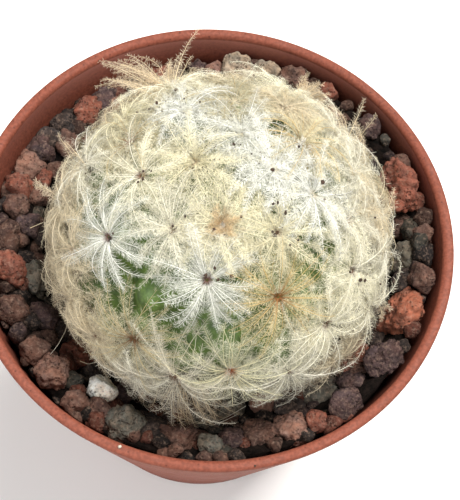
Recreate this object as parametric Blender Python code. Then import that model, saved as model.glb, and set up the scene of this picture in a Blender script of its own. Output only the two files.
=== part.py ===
"""Potted feather cactus: a single globe of woolly feather spines in a small round plastic pot.

The pot stands on z = 0 with its axis on Z. The front, where the plant leans, is -Y.
"""

import math
import random

import bmesh
import bpy
from mathutils import Matrix, Vector

MM = 0.001

# Pot
POT_HEIGHT = 47.0 * MM
RIM_RADIUS = 27.5 * MM
BASE_RADIUS = 16.9 * MM
WALL = 0.75 * MM
FLOOR = 1.2 * MM
LIP_WIDTH = 1.3 * MM
LIP_INNER_EDGE = 0.6 * MM
LIP_OUTER_EDGE = 0.35 * MM
FOOT_CHAMFER = 0.7 * MM
POT_SIDES = 56
SHARP_EDGE = math.radians(35)
DRAIN_HOLES = 4
DRAIN_RADIUS = 2.2 * MM
DRAIN_CIRCLE = 10.5 * MM
DRAIN_SIDES = 16

# Grit that fills the pot
GRIT_LEVEL_AT_WALL = POT_HEIGHT - 3.7 * MM
GRIT_LEVEL_AT_PLANT = POT_HEIGHT - 8.6 * MM
GRIT_HOLLOW_RADIUS = 19.1 * MM
GRIT_SLOPE_WIDTH = 4.2 * MM
GRIT_TILT = Vector((0.035, 0.02, 0))
GRIT_DIP = 1.6 * MM
GRIT_DIP_TURN = math.radians(118)
GRIT_DIP_NARROWNESS = 6
GRIT_RINGS = (8.0 * MM, 15.0 * MM, 18.0 * MM, 20.5 * MM, 23.0 * MM)
GRIT_SHOULDER = POT_HEIGHT - 7.0 * MM
GRIT_SIDES = 32
SEAT_GAP = 0.35 * MM
GRAIN_CORNERS = 12
GRAIN_SINK = 0.4
GRAIN_TILT = 0.4
GRAIN_BREADTHS = (0.78, 0.95)
GRAIN_HEIGHTS = (0.75, 0.92)
GRAIN_SWELLS = (1.1, 1.32)
GRAIN_CORNER_DRIFT = 0.3
FILLER_TRIALS = 1200
GRAIN_OFF_WALL = 0.36
PLACING_STEPS = 4
FILLER_RING = (14.0 * MM, 23.6 * MM)
FILLER_SIZES = (3.4 * MM, 4.4 * MM)
FILLER_SPACING = 3.3 * MM
GRAIN_CEILING_UNDER_PLANT = 39.6 * MM
CLEAR_OF_COAT_RADIUS = 20.5 * MM
HANGING_SPINES_RADIUS = 19.3 * MM
CLEAR_OF_BODY_RADIUS = 14.6 * MM
GRIT_SEED = 7

# Plant
GLOBE_CENTRE = Vector((0.9 * MM, -1.1 * MM, 46.5 * MM))
AREOLE_RADIUS = 18.3 * MM
TUBERCLE_TIP_RADIUS = 17.45 * MM
TUBERCLE_RINGS = ((1.3 * MM, 17.2 * MM, 6), (2.5 * MM, 16.1 * MM, 6))
SADDLE_RADIUS = 15.0 * MM
VALLEY_RADIUS = 14.2 * MM
UNDERSIDE_RINGS = ((13.4 * MM, 40.5 * MM), (12.0 * MM, 38.1 * MM), (5.0 * MM, 33.5 * MM), (4.0 * MM, 25.0 * MM))
UNDERSIDE_SIDES = 20
WIDEST_VALLEY = math.radians(40)
BODY_RING_GAP = 1.2 * MM
LOWEST_STAR = math.radians(94)
FRONT_LIFT = math.radians(9)

# Spine stars, one on each tubercle
GOLDEN_ANGLE = math.pi * (3 - math.sqrt(5))
STAR_COUNT = 52
STAR_SEED = 3
SPREADING_STEPS = 150
SPREADING_PUSH = 0.00002
SPREADING_POWER = 4
SPINE_WANDER = 0.08
CUSHION_RADIUS = 1.15 * MM
CUSHION_TOP_RADIUS = 0.95 * MM
CUSHION_HEIGHT = 0.8 * MM
CUSHION_DOME = 0.25 * MM
SPINES_PER_STAR = 11
SPINE_REACH = 4.6 * MM
SPINE_ARCHES = (1.1 * MM, 0.55 * MM)
SPINE_DROOP = 2.1 * MM
SPINE_WIDTH = 1.35 * MM
SPINE_FILL = 0.84
SPINE_THICKNESS = 0.6 * MM
MIDDLE_OF_SPINE = 0.64
LOOSE_SPINE_REACH = 5.4 * MM
LOOSE_SPINE_RISE = 3.4 * MM
CELL_GAP = 0.17 * MM
LOWEST_SPINE_TIP = 40.3 * MM

# The view in which the places of stars and grains were measured, in pixels of a 460 x 500 picture
VIEW_ELEVATION = math.radians(65.5)
VIEW_ROLL = math.radians(7.0)
VIEW_DISTANCE = 150.0 * MM
VIEW_FOCUS_PX = 1335.0
VIEW_MIDDLE_PX = (230.0, 250.0)
VIEW_AIM = Vector((2.17 * MM, -1.81 * MM, POT_HEIGHT))

# Middles of the spine stars that can be told apart, as pixels of that view
STARS_SEEN = (
    (222, 225), (173, 229), (195, 162), (142, 176), (109, 237), (134, 338), (207, 280),
    (278, 297), (351, 270), (325, 323), (175, 375), (230, 370), (312, 195), (277, 233),
    (242, 135), (301, 143), (285, 96), (174, 91), (234, 103),
    (187, 112), (274, 169), (125, 121), (87, 167), (67, 201), (54, 250), (71, 297), (97, 336),
    (288, 371), (366, 306), (380, 250), (371, 208), (352, 174), (333, 133),
)

# Green skin that shows between the stars, as pixels of that view: a tubercle without a star, and a dip
BARE_TUBERCLE = (143, 301)
BARE_DIP = (195, 333)

# Long spines that stand off the coat: pixel of their star, and pixel that they point to
LOOSE_SPINES = (
    ((174, 91), (188, 32)), ((174, 91), (119, 62)), ((174, 91), (100, 88)), ((285, 96), (345, 60)),
    ((134, 338), (70, 400)), ((351, 270), (410, 262)), ((175, 375), (150, 440)), ((230, 370), (250, 440)),
)

# Grains of the top layer that can be told apart: pixel of the middle, and size in millimetres,
# round the pot from the back over the left, the front and the right
GRAINS_SEEN = (
    (197, 63, 3.0), (160, 74, 3.6), (118, 105, 3.0), (100, 92, 3.6), (87, 110, 4.2), (61, 123, 3.4),
    (25, 124, 3.6), (30, 142, 4.2), (67, 144, 3.8), (22, 165, 4.2), (58, 171, 3.2), (43, 178, 2.6),
    (13, 184, 4.0), (39, 197, 3.0), (16, 207, 3.6), (27, 226, 3.4), (9, 232, 3.2), (39, 236, 2.8),
    (8, 268, 4.6), (33, 277, 4.0), (13, 311, 4.0), (44, 316, 4.2), (60, 330, 3.4), (34, 351, 3.6),
    (52, 374, 4.6), (75, 357, 4.4), (92, 374, 3.4), (102, 389, 3.2), (75, 402, 3.2), (98, 410, 3.2),
    (122, 395, 3.4), (124, 424, 4.6), (149, 426, 4.2), (178, 437, 4.6), (210, 446, 3.4), (234, 439, 3.8),
    (259, 434, 4.6), (292, 429, 4.8), (319, 422, 3.0), (320, 390, 4.6), (346, 405, 4.2), (353, 357, 5.2),
    (390, 361, 5.0), (404, 312, 5.8), (404, 281, 3.6), (427, 279, 3.8), (407, 255, 3.6), (424, 234, 3.0),
    (400, 225, 3.4), (407, 186, 7.0), (368, 161, 3.2), (373, 124, 3.4), (338, 130, 2.6), (333, 115, 3.2),
    (328, 93, 3.0), (300, 70, 4.0), (268, 69, 3.6), (238, 64, 4.8), (215, 72, 3.0),
)


def sight_line(pixel):
    """Eye point and direction of the line of sight through a pixel of the view."""
    towards_eye = Vector((0, -math.cos(VIEW_ELEVATION), math.sin(VIEW_ELEVATION)))
    up = Vector((0, math.sin(VIEW_ELEVATION), math.cos(VIEW_ELEVATION)))
    right = Vector((1, 0, 0))
    dx = pixel[0] - VIEW_MIDDLE_PX[0]
    dy = pixel[1] - VIEW_MIDDLE_PX[1]
    across = math.cos(VIEW_ROLL) * dx + math.sin(VIEW_ROLL) * dy
    down = math.cos(VIEW_ROLL) * dy - math.sin(VIEW_ROLL) * dx
    direction = right * across - up * down - towards_eye * VIEW_FOCUS_PX
    return VIEW_AIM + towards_eye * VIEW_DISTANCE, direction.normalized()


def seen_on_globe(pixel, radius):
    """Direction from the globe's centre to where a sight line meets it, or passes it most closely."""
    eye, direction = sight_line(pixel)
    along = (GLOBE_CENTRE - eye).dot(direction)
    nearest = eye + direction * along - GLOBE_CENTRE
    depth = math.sqrt(max(radius ** 2 - nearest.length_squared, 0.0))
    return (nearest - direction * depth).normalized()


def seen_on_level(pixel, z):
    """Where a sight line meets a level plane."""
    eye, direction = sight_line(pixel)
    return eye + direction * ((z - eye.z) / direction.z)


def clear_scene():
    for thing in list(bpy.data.objects):
        bpy.data.objects.remove(thing, do_unlink=True)


def make_material(name, colour, roughness):
    material = bpy.data.materials.new(name)
    material.use_nodes = True
    shader = material.node_tree.nodes["Principled BSDF"]
    shader.inputs["Base Color"].default_value = (*colour, 1.0)
    shader.inputs["Roughness"].default_value = roughness
    shader.inputs["Metallic"].default_value = 0.0
    return material


def make_object(name, mesh, material):
    thing = bpy.data.objects.new(name, mesh)
    bpy.context.scene.collection.objects.link(thing)
    thing.data.materials.append(material)
    return thing


def mesh_from(name, build):
    """A mesh made by build(bm), with its faces pointing out."""
    bm = bmesh.new()
    build(bm)
    bmesh.ops.recalc_face_normals(bm, faces=bm.faces)
    mesh = bpy.data.meshes.new(name)
    bm.to_mesh(mesh)
    bm.free()
    return mesh


def drop_loose(bm):
    """Delete the points that a hull left inside."""
    loose = [corner for corner in bm.verts if not corner.link_faces]
    bmesh.ops.delete(bm, geom=loose, context="VERTS")


def hull_mesh(name, points):
    """Closed mesh of the convex hull of points."""
    def build(bm):
        for point in points:
            bm.verts.new(point)
        bmesh.ops.convex_hull(bm, input=bm.verts)
        drop_loose(bm)
    return mesh_from(name, build)


def turned(name, profile, sides, material):
    """Solid turned round Z from a profile that ends on the axis and runs down its outer side."""
    mesh = bpy.data.meshes.new(name)
    edges = [(i, i + 1) for i in range(len(profile) - 1)]
    mesh.from_pydata([(radius, 0, z) for radius, z in profile], edges, [])
    thing = make_object(name, mesh, material)
    screw = thing.modifiers.new("Turn", "SCREW")
    screw.steps = sides
    screw.render_steps = sides
    screw.use_merge_vertices = True
    screw.merge_threshold = 0.00001
    apply_modifiers(thing)
    thing.data.materials.clear()
    thing.data.materials.append(material)
    return thing


def apply_modifiers(thing):
    """Replace an object's mesh by what its modifiers make of it."""
    bpy.context.view_layer.update()
    evaluated = thing.evaluated_get(bpy.context.evaluated_depsgraph_get())
    mesh = bpy.data.meshes.new_from_object(evaluated)
    thing.modifiers.clear()
    thing.data = mesh


def combine(thing, operation, pieces):
    """Join pieces to an object, or cut them out of it, in one Boolean, and remove them."""
    group = bpy.data.collections.new("Pieces")
    bpy.context.scene.collection.children.link(group)
    for piece in pieces:
        bpy.context.scene.collection.objects.unlink(piece)
        group.objects.link(piece)
    boolean = thing.modifiers.new("Combine", "BOOLEAN")
    boolean.operation = operation
    boolean.operand_type = "COLLECTION"
    boolean.collection = group
    boolean.solver = "EXACT"
    apply_modifiers(thing)
    for piece in pieces:
        bpy.data.objects.remove(piece, do_unlink=True)
    bpy.data.collections.remove(group)


# Pot

def wall_radii(z):
    """Outer and inner radius of the pot's wall at a height."""
    outer = BASE_RADIUS + (RIM_RADIUS - BASE_RADIUS) * z / POT_HEIGHT
    return outer, outer - WALL


def pot_profile():
    """Half section: floor, tapered wall up to the thicker lip, its eased edges, wall down to the foot."""
    lip_inside = RIM_RADIUS - LIP_WIDTH
    lip_foot = POT_HEIGHT * (lip_inside + WALL - BASE_RADIUS) / (RIM_RADIUS - BASE_RADIUS)
    return [
        (0, FLOOR),
        (wall_radii(FLOOR)[1], FLOOR),
        (lip_inside, lip_foot),
        (lip_inside, POT_HEIGHT - LIP_INNER_EDGE),
        (lip_inside + LIP_INNER_EDGE, POT_HEIGHT),
        (RIM_RADIUS - LIP_OUTER_EDGE, POT_HEIGHT),
        (RIM_RADIUS, POT_HEIGHT - LIP_OUTER_EDGE),
        (wall_radii(FOOT_CHAMFER)[0], FOOT_CHAMFER),
        (BASE_RADIUS - FOOT_CHAMFER, 0),
        (0, 0),
    ]


def make_pot(material):
    pot = turned("pot", pot_profile(), POT_SIDES, material)
    drills = []
    for i in range(DRAIN_HOLES):
        turn = math.tau * (i + 0.5) / DRAIN_HOLES
        drill_profile = [(0, 2 * FLOOR), (DRAIN_RADIUS, 2 * FLOOR), (DRAIN_RADIUS, -FLOOR), (0, -FLOOR)]
        drill = turned(f"drill_{i}", drill_profile, DRAIN_SIDES, material)
        drill.location = (DRAIN_CIRCLE * math.cos(turn), DRAIN_CIRCLE * math.sin(turn), 0)
        drills.append(drill)
    combine(pot, "DIFFERENCE", drills)
    pot.data.shade_smooth()
    pot.data.set_sharp_from_angle(angle=SHARP_EDGE)
    return pot


# Places of the stars

def keep_above(direction):
    """The same direction, lifted where it lies lower than stars do: at the front they stay higher."""
    lowest = LOWEST_STAR - FRONT_LIFT * max(0, -direction.y)
    if math.acos(direction.z) <= lowest:
        return direction
    level = Vector((direction.x, direction.y, 0)).normalized()
    return level * math.sin(lowest) + Vector((0, 0, math.cos(lowest)))


def star_directions():
    """The stars that were measured, and the rest spread evenly over what they and the bare places leave."""
    seen = [seen_on_globe(pixel, AREOLE_RADIUS) for pixel in STARS_SEEN]
    taken = seen + [seen_on_globe(pixel, AREOLE_RADIUS) for pixel in (BARE_TUBERCLE, BARE_DIP)]
    cap = 1 - math.cos(LOWEST_STAR)
    candidates = []
    for i in range(STAR_COUNT):
        z = 1 - cap * (i + 0.5) / STAR_COUNT
        turn = i * GOLDEN_ANGLE
        flat = math.sqrt(1 - z * z)
        candidates.append(Vector((flat * math.cos(turn), flat * math.sin(turn), z)))
    candidates.sort(key=lambda place: max(place.dot(other) for other in taken))
    free = candidates[:STAR_COUNT - len(seen)]
    for step in range(SPREADING_STEPS):
        pushed = []
        for i, place in enumerate(free):
            push = Vector((0, 0, 0))
            for other in taken + free[:i] + free[i + 1:]:
                apart = place - other
                push += apart.normalized() / apart.length ** SPREADING_POWER
            push -= place * push.dot(place)
            pushed.append((place + push * SPREADING_PUSH).normalized())
        free = [keep_above(place) for place in pushed]
    return seen + free


# Plant body

def ring_round(direction, angle, count, twist):
    """Directions in a ring at an angle round a direction."""
    side = direction.orthogonal().normalized()
    ring = []
    for i in range(count):
        spoke = Matrix.Rotation(twist + math.tau * i / count, 3, direction) @ side
        ring.append(direction * math.cos(angle) + spoke * math.sin(angle))
    return ring


def neighbour_triangles(directions):
    """Triples of neighbouring directions, from the convex hull of their end points."""
    bm = bmesh.new()
    for direction in directions:
        bm.verts.new(direction)
    bm.verts.index_update()
    bmesh.ops.convex_hull(bm, input=bm.verts)
    triangles = [[corner.index for corner in face.verts] for face in bm.faces]
    bm.free()
    return triangles


def body_points(tubercles):
    """Points of the plant body's surface, from its centre: tubercles, the dips between, the underside."""
    points = []
    for i, tubercle in enumerate(tubercles):
        points.append(tubercle * TUBERCLE_TIP_RADIUS)
        for distance, radius, count in TUBERCLE_RINGS:
            for direction in ring_round(tubercle, distance / AREOLE_RADIUS, count, i):
                points.append(direction * radius)
    saddles = set()
    for triangle in neighbour_triangles(tubercles):
        corners = [tubercles[i] for i in triangle]
        if min(a.dot(b) for a in corners for b in corners) < math.cos(WIDEST_VALLEY):
            continue
        valley = (corners[0] - corners[1]).cross(corners[1] - corners[2]).normalized()
        if valley.dot(corners[0]) < 0:
            valley.negate()
        points.append(valley * VALLEY_RADIUS)
        for a, b in ((0, 1), (1, 2), (2, 0)):
            saddles.add(tuple(sorted((triangle[a], triangle[b]))))
    for a, b in sorted(saddles):
        points.append((tubercles[a] + tubercles[b]).normalized() * SADDLE_RADIUS)
    points = [point for point in points if point.z > UNDERSIDE_RINGS[0][1] - GLOBE_CENTRE.z + BODY_RING_GAP]
    for radius, z in UNDERSIDE_RINGS:
        for i in range(UNDERSIDE_SIDES):
            turn = math.tau * i / UNDERSIDE_SIDES
            points.append(Vector((radius * math.cos(turn), radius * math.sin(turn), z - GLOBE_CENTRE.z)))
    points.append(Vector((0, 0, UNDERSIDE_RINGS[-1][1] - GLOBE_CENTRE.z)))
    return points


def make_body(stars, material):
    """One closed skin over all the points, joined as the hull of their directions is."""
    points = body_points(stars + [seen_on_globe(BARE_TUBERCLE, AREOLE_RADIUS)])

    def build(bm):
        corners = [bm.verts.new(point.normalized()) for point in points]
        bmesh.ops.convex_hull(bm, input=bm.verts)
        for corner, point in zip(corners, points):
            corner.co = GLOBE_CENTRE + point
        drop_loose(bm)

    body = make_object("cactus_body", mesh_from("cactus_body", build), material)
    body.data.shade_smooth()
    return body


# Spine stars

def cell_reach(star, heading, height, others, gap):
    """How far a spine may reach from its star's axis before it comes near a neighbour's spines."""
    reach = SPINE_REACH
    for other in others:
        wall = (star - other).normalized()
        slope = heading.dot(wall)
        if slope < 0:
            reach = min(reach, ((AREOLE_RADIUS + height) * star.dot(wall) - gap) / -slope)
    return reach


def loose_headings():
    """For each long spine, its star's direction and the way that it points, along the coat."""
    headings = []
    for star_pixel, tip_pixel in LOOSE_SPINES:
        star = seen_on_globe(star_pixel, AREOLE_RADIUS)
        way = seen_on_level(tip_pixel, POT_HEIGHT) - seen_on_level(star_pixel, POT_HEIGHT)
        headings.append((star, (way - star * star.dot(way)).normalized()))
    return headings


def is_loose(star, heading, step, headings):
    """Whether this is the spine of its star that lies nearest to a long spine's heading."""
    near = math.cos(step / 2)
    return any(star == other and heading.dot(way) > near for other, way in headings)


def spine_sections(star, heading, arch, others):
    """Middle corners and tip of one spine: a feather blade that arches up and then hangs."""
    across = star.cross(heading)
    reach = cell_reach(star, heading, -SPINE_DROOP, others, CELL_GAP)
    middle = star * (AREOLE_RADIUS + arch) + heading * reach * MIDDLE_OF_SPINE
    room = math.tau * reach * MIDDLE_OF_SPINE / SPINES_PER_STAR
    width = min(SPINE_WIDTH, SPINE_FILL * room)
    ridge = middle + star * SPINE_THICKNESS / 2
    edges = [middle - star * SPINE_THICKNESS / 2 + across * side * width / 2 for side in (-1, 1)]
    tip = star * (AREOLE_RADIUS - SPINE_DROOP) + heading * reach
    tip.z = max(tip.z, LOWEST_SPINE_TIP - GLOBE_CENTRE.z)
    return [ridge, *edges, tip]


def make_star(number, stars, loose, material, draw):
    """A star of spines round a woolly cushion, as one skin.

    The cushion's side is a band of triangles, standing on their edge and on their corner by turns.
    A spine grows out of each triangle that stands on its edge.
    """
    star = stars[number]
    others = stars[:number] + stars[number + 1:]
    side = star.orthogonal().normalized()
    step = math.tau / SPINES_PER_STAR
    start = draw.uniform(0, step)
    foot = star * (AREOLE_RADIUS - CUSHION_HEIGHT / 2)
    crown = star * (AREOLE_RADIUS + CUSHION_HEIGHT / 2)

    def build(bm):
        def corner(place):
            return bm.verts.new(GLOBE_CENTRE + place)

        uppers = []
        lowers = []
        for i in range(SPINES_PER_STAR):
            to_upper = Matrix.Rotation(start + step * i, 3, star) @ side
            to_lower = Matrix.Rotation(start + step * (i - 0.5), 3, star) @ side
            uppers.append(corner(crown + to_upper * CUSHION_TOP_RADIUS))
            lowers.append(corner(foot + to_lower * CUSHION_RADIUS))
        top = corner(crown + star * CUSHION_DOME)
        bottom = corner(foot)
        for i in range(SPINES_PER_STAR):
            after = (i + 1) % SPINES_PER_STAR
            arch = SPINE_ARCHES[i % len(SPINE_ARCHES)]
            turn = start + step * (i + draw.uniform(-SPINE_WANDER, SPINE_WANDER))
            heading = Matrix.Rotation(turn, 3, star) @ side
            sections = spine_sections(star, heading, arch, others)
            if is_loose(star, heading, step, loose):
                sections[3] = star * (AREOLE_RADIUS + LOOSE_SPINE_RISE) + heading * LOOSE_SPINE_REACH
            root = (uppers[i], lowers[i], lowers[after])
            middle = [corner(place) for place in sections[:3]]
            tip = corner(sections[3])
            for j in range(3):
                k = (j + 1) % 3
                bm.faces.new((root[j], root[k], middle[k]))
                bm.faces.new((root[j], middle[k], middle[j]))
                bm.faces.new((middle[j], middle[k], tip))
            bm.faces.new((uppers[i], lowers[after], uppers[after]))
            bm.faces.new((top, uppers[i], uppers[after]))
            bm.faces.new((bottom, lowers[after], lowers[i]))

    name = f"spine_star_{number + 1:02d}"
    return make_object(name, mesh_from(name, build), material)


# Grit

def grit_level(place):
    """Height of the bed under its top grains: hollow round the plant, heaped at the wall, with one dip there."""
    from_plant = (place - GLOBE_CENTRE).to_2d().length
    share = min(max((from_plant - GRIT_HOLLOW_RADIUS) / GRIT_SLOPE_WIDTH, 0.0), 1.0)
    in_dip = max(math.cos(math.atan2(place.y, place.x) - GRIT_DIP_TURN), 0.0) ** GRIT_DIP_NARROWNESS
    heap = GRIT_LEVEL_AT_WALL + GRIT_TILT.dot(place) - GRIT_DIP * in_dip
    return GRIT_LEVEL_AT_PLANT + share * (heap - GRIT_LEVEL_AT_PLANT)


def inside_wall(z):
    """Largest distance from the axis that grit may have at a height."""
    return min(wall_radii(z)[1], RIM_RADIUS - LIP_WIDTH) - SEAT_GAP


def grit_mesh():
    """The bed of grit without its seat: rings of points from the middle of its top round to its foot."""
    foot = FLOOR + SEAT_GAP
    top_radius = inside_wall(GRIT_SHOULDER)

    def ring(radius, z=None):
        points = []
        for i in range(GRIT_SIDES):
            turn = math.tau * i / GRIT_SIDES
            point = Vector((radius * math.cos(turn), radius * math.sin(turn), 0))
            point.z = grit_level(point) if z is None else z
            points.append(point)
        return points

    rings = [ring(radius) for radius in (*GRIT_RINGS, top_radius)]
    rings.append(ring(top_radius, GRIT_SHOULDER))
    rings.append(ring(inside_wall(foot), foot))

    def build(bm):
        rows = [[bm.verts.new(point) for point in points] for points in rings]
        top = bm.verts.new((0, 0, GRIT_LEVEL_AT_PLANT))
        bottom = bm.verts.new((0, 0, foot))
        for i in range(GRIT_SIDES):
            after = (i + 1) % GRIT_SIDES
            bm.faces.new((top, rows[0][i], rows[0][after]))
            bm.faces.new((bottom, rows[-1][after], rows[-1][i]))
            for inner, outer in zip(rows, rows[1:]):
                bm.faces.new((inner[i], outer[i], outer[after]))
                bm.faces.new((inner[i], outer[after], inner[after]))

    return mesh_from("grit_bed", build)


def grain_places(draw):
    """Middle and size of every grain of the top layer: the ones seen, then fillers where there is room."""
    places = []
    for x, y, size in GRAINS_SEEN:
        place = Vector((0, 0, GRIT_LEVEL_AT_WALL))
        for step in range(PLACING_STEPS):
            place = seen_on_level((x, y), place.z)
            flat = place.to_2d()
            limit = inside_wall(place.z) - GRAIN_OFF_WALL * size * MM
            if flat.length > limit:
                flat *= limit / flat.length
            place = Vector((*flat, 0))
            place.z = grit_level(place) + size * MM * (0.5 - GRAIN_SINK)
        places.append((place, size * MM))
    for i in range(FILLER_TRIALS):
        turn = i * GOLDEN_ANGLE
        distance = draw.uniform(*FILLER_RING)
        size = draw.uniform(*FILLER_SIZES)
        place = Vector((distance * math.cos(turn), distance * math.sin(turn), 0))
        if (place - GLOBE_CENTRE).to_2d().length < CLEAR_OF_BODY_RADIUS + size / 3:
            continue
        if min((place - other).to_2d().length for other, other_size in places) < FILLER_SPACING:
            continue
        place.z = grit_level(place) + size * (0.5 - GRAIN_SINK)
        places.append((place, size))
    return places


def keep_off_wall_and_plant(point):
    """A grain's corner, moved in from the pot's wall, down from the coat and out from the body."""
    limit = inside_wall(point.z)
    flat = Vector((point.x, point.y, 0))
    if flat.length > limit:
        flat = flat.normalized() * limit
    axis = Vector((GLOBE_CENTRE.x, GLOBE_CENTRE.y, 0))
    from_plant = flat - axis
    z = point.z
    if from_plant.length < CLEAR_OF_COAT_RADIUS:
        coat_foot = GLOBE_CENTRE.z - math.sqrt(CLEAR_OF_COAT_RADIUS ** 2 - from_plant.length_squared)
        z = min(z, max(coat_foot, GRAIN_CEILING_UNDER_PLANT))
        if from_plant.length < HANGING_SPINES_RADIUS:
            z = min(z, GRAIN_CEILING_UNDER_PLANT)
    if from_plant.length < CLEAR_OF_BODY_RADIUS:
        flat = axis + from_plant.normalized() * CLEAR_OF_BODY_RADIUS
    return Vector((flat.x, flat.y, z))


def grain_mesh(name, middle, size, draw):
    """Angular grain: the hull of a few points spread evenly over a squashed, turned ball."""
    tilt = Matrix.Rotation(draw.uniform(-GRAIN_TILT, GRAIN_TILT), 3, "X")
    turn = Matrix.Rotation(draw.uniform(0, math.tau), 3, "Z") @ tilt
    shape = Vector((1.0, draw.uniform(*GRAIN_BREADTHS), draw.uniform(*GRAIN_HEIGHTS))) * size / 2
    points = []
    for i in range(GRAIN_CORNERS):
        z = 1 - 2 * (i + 0.5) / GRAIN_CORNERS
        flat = math.sqrt(1 - z * z)
        spin = i * GOLDEN_ANGLE + draw.uniform(-GRAIN_CORNER_DRIFT, GRAIN_CORNER_DRIFT)
        swell = draw.uniform(*GRAIN_SWELLS)
        corner = Vector((flat * math.cos(spin) * shape.x, flat * math.sin(spin) * shape.y, z * shape.z))
        points.append(keep_off_wall_and_plant(middle + turn @ corner * swell))
    return hull_mesh(name, points)


def make_seat_cutter(material):
    """The plant's underside, grown by the gap that it keeps from the grit."""
    profile = [(0, POT_HEIGHT)]
    for radius, z in UNDERSIDE_RINGS:
        profile.append((radius + 2 * SEAT_GAP, z))
    bottom_radius, bottom = profile[-1]
    profile[-1] = (bottom_radius, bottom - SEAT_GAP)
    profile.append((0, bottom - SEAT_GAP))
    cutter = turned("seat_cutter", profile, UNDERSIDE_SIDES, material)
    cutter.location = (GLOBE_CENTRE.x, GLOBE_CENTRE.y, 0)
    return cutter


def keep_largest_skin(thing):
    """Drop the small pockets and scraps that the Booleans left beside the main body."""
    bm = bmesh.new()
    bm.from_mesh(thing.data)
    unvisited = set(bm.verts)
    skins = []
    while unvisited:
        waiting = [unvisited.pop()]
        skin = list(waiting)
        while waiting:
            for edge in waiting.pop().link_edges:
                for corner in edge.verts:
                    if corner in unvisited:
                        unvisited.remove(corner)
                        waiting.append(corner)
                        skin.append(corner)
        skins.append(skin)
    skins.sort(key=len)
    for skin in skins[:-1]:
        bmesh.ops.delete(bm, geom=skin, context="VERTS")
    bm.to_mesh(thing.data)
    bm.free()


def make_grit(material):
    draw = random.Random(GRIT_SEED)
    grit = make_object("grit_bed", grit_mesh(), material)
    grains = []
    for i, (middle, size) in enumerate(grain_places(draw)):
        name = f"grain_{i}"
        grains.append(make_object(name, grain_mesh(name, middle, size, draw), material))
    combine(grit, "UNION", grains)
    combine(grit, "DIFFERENCE", [make_seat_cutter(material)])
    keep_largest_skin(grit)
    return grit


def main():
    clear_scene()
    plastic = make_material("terracotta_plastic", (0.50, 0.15, 0.08), 0.55)
    stone = make_material("lava_and_pumice_grit", (0.16, 0.09, 0.075), 0.95)
    flesh = make_material("green_plant_skin", (0.10, 0.26, 0.06), 0.5)
    feather = make_material("cream_feather_spines", (0.78, 0.74, 0.60), 0.8)
    stars = star_directions()
    make_pot(plastic)
    make_grit(stone)
    make_body(stars, flesh)
    draw = random.Random(STAR_SEED)
    loose = loose_headings()
    for number in range(len(stars)):
        make_star(number, stars, loose, feather, draw)


main()
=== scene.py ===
"""Looks of the potted feather cactus: plastic pot, lava and pumice grit, and a coat of feather spines.

Lengths are in metres. The pot stands on z = 0 with its axis on Z, and the front is -Y.
"""

import math
import random

import bmesh
import bpy
import numpy as np
from mathutils import Matrix, Vector, noise
from mathutils.bvhtree import BVHTree


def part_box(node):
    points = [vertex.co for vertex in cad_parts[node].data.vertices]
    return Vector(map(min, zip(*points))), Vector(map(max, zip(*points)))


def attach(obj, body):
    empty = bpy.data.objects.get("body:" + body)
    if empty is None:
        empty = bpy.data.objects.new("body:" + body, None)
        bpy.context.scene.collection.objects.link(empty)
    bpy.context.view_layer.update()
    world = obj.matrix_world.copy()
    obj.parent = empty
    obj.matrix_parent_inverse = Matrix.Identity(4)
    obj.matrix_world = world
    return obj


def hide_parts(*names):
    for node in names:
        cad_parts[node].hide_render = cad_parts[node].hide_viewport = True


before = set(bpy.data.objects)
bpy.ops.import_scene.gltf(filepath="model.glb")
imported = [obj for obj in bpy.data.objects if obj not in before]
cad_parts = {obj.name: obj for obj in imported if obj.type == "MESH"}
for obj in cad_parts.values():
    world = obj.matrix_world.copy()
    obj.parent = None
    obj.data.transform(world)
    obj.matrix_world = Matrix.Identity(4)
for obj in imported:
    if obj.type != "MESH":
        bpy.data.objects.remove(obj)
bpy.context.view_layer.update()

MM = 0.001
GOLDEN_ANGLE = math.pi * (3 - math.sqrt(5))

# Pot, by the same sizes as its node
POT_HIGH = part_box("pot")[1]
POT_HEIGHT = POT_HIGH.z
RIM_RADIUS = POT_HIGH.x
BASE_RADIUS = 16.9 * MM
WALL = 0.75 * MM
FLOOR = 1.2 * MM
LIP_WIDTH = 1.3 * MM
LIP_INNER_EDGE = 0.65 * MM
LIP_OUTER_EDGE = 0.4 * MM
EDGE_POINTS = 7
FOOT_EDGE = 0.7 * MM
POT_SIDES = 192
SHARP_EDGE = math.radians(35)
DRAIN_HOLES = 4
DRAIN_RADIUS = 2.2 * MM
DRAIN_CIRCLE = 10.5 * MM
DRAIN_SIDES = 40

# Grit, by the same rule as its node
GRIT_LEVEL_AT_WALL = POT_HEIGHT - 3.7 * MM
GRIT_LEVEL_AT_PLANT = POT_HEIGHT - 8.6 * MM
GRIT_HOLLOW_RADIUS = 19.1 * MM
GRIT_SLOPE_WIDTH = 4.2 * MM
GRIT_TILT = Vector((0.035, 0.02, 0))
GRIT_DIP = 1.6 * MM
GRIT_DIP_TURN = math.radians(118)
GRIT_DIP_NARROWNESS = 6
GRIT_SHOULDER = POT_HEIGHT - 7.0 * MM
SEAT_GAP = 0.35 * MM
GRAIN_CORNERS = 12
GRAIN_SINK = 0.4
GRAIN_TILT = 0.4
GRAIN_BREADTHS = (0.78, 0.95)
GRAIN_HEIGHTS = (0.75, 0.92)
GRAIN_SWELLS = (1.1, 1.32)
GRAIN_CORNER_DRIFT = 0.3
GRAIN_OFF_WALL = 0.36
PLACING_STEPS = 4
FILLER_TRIALS = 1200
FILLER_RING = (14.0 * MM, 23.6 * MM)
FILLER_SIZES = (3.4 * MM, 4.4 * MM)
FILLER_SPACING = 3.3 * MM
GRAIN_CEILING_UNDER_PLANT = 39.6 * MM
CLEAR_OF_COAT_RADIUS = 20.5 * MM
HANGING_SPINES_RADIUS = 19.3 * MM
CLEAR_OF_BODY_RADIUS = 14.6 * MM
GRIT_SEED = 7

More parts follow.
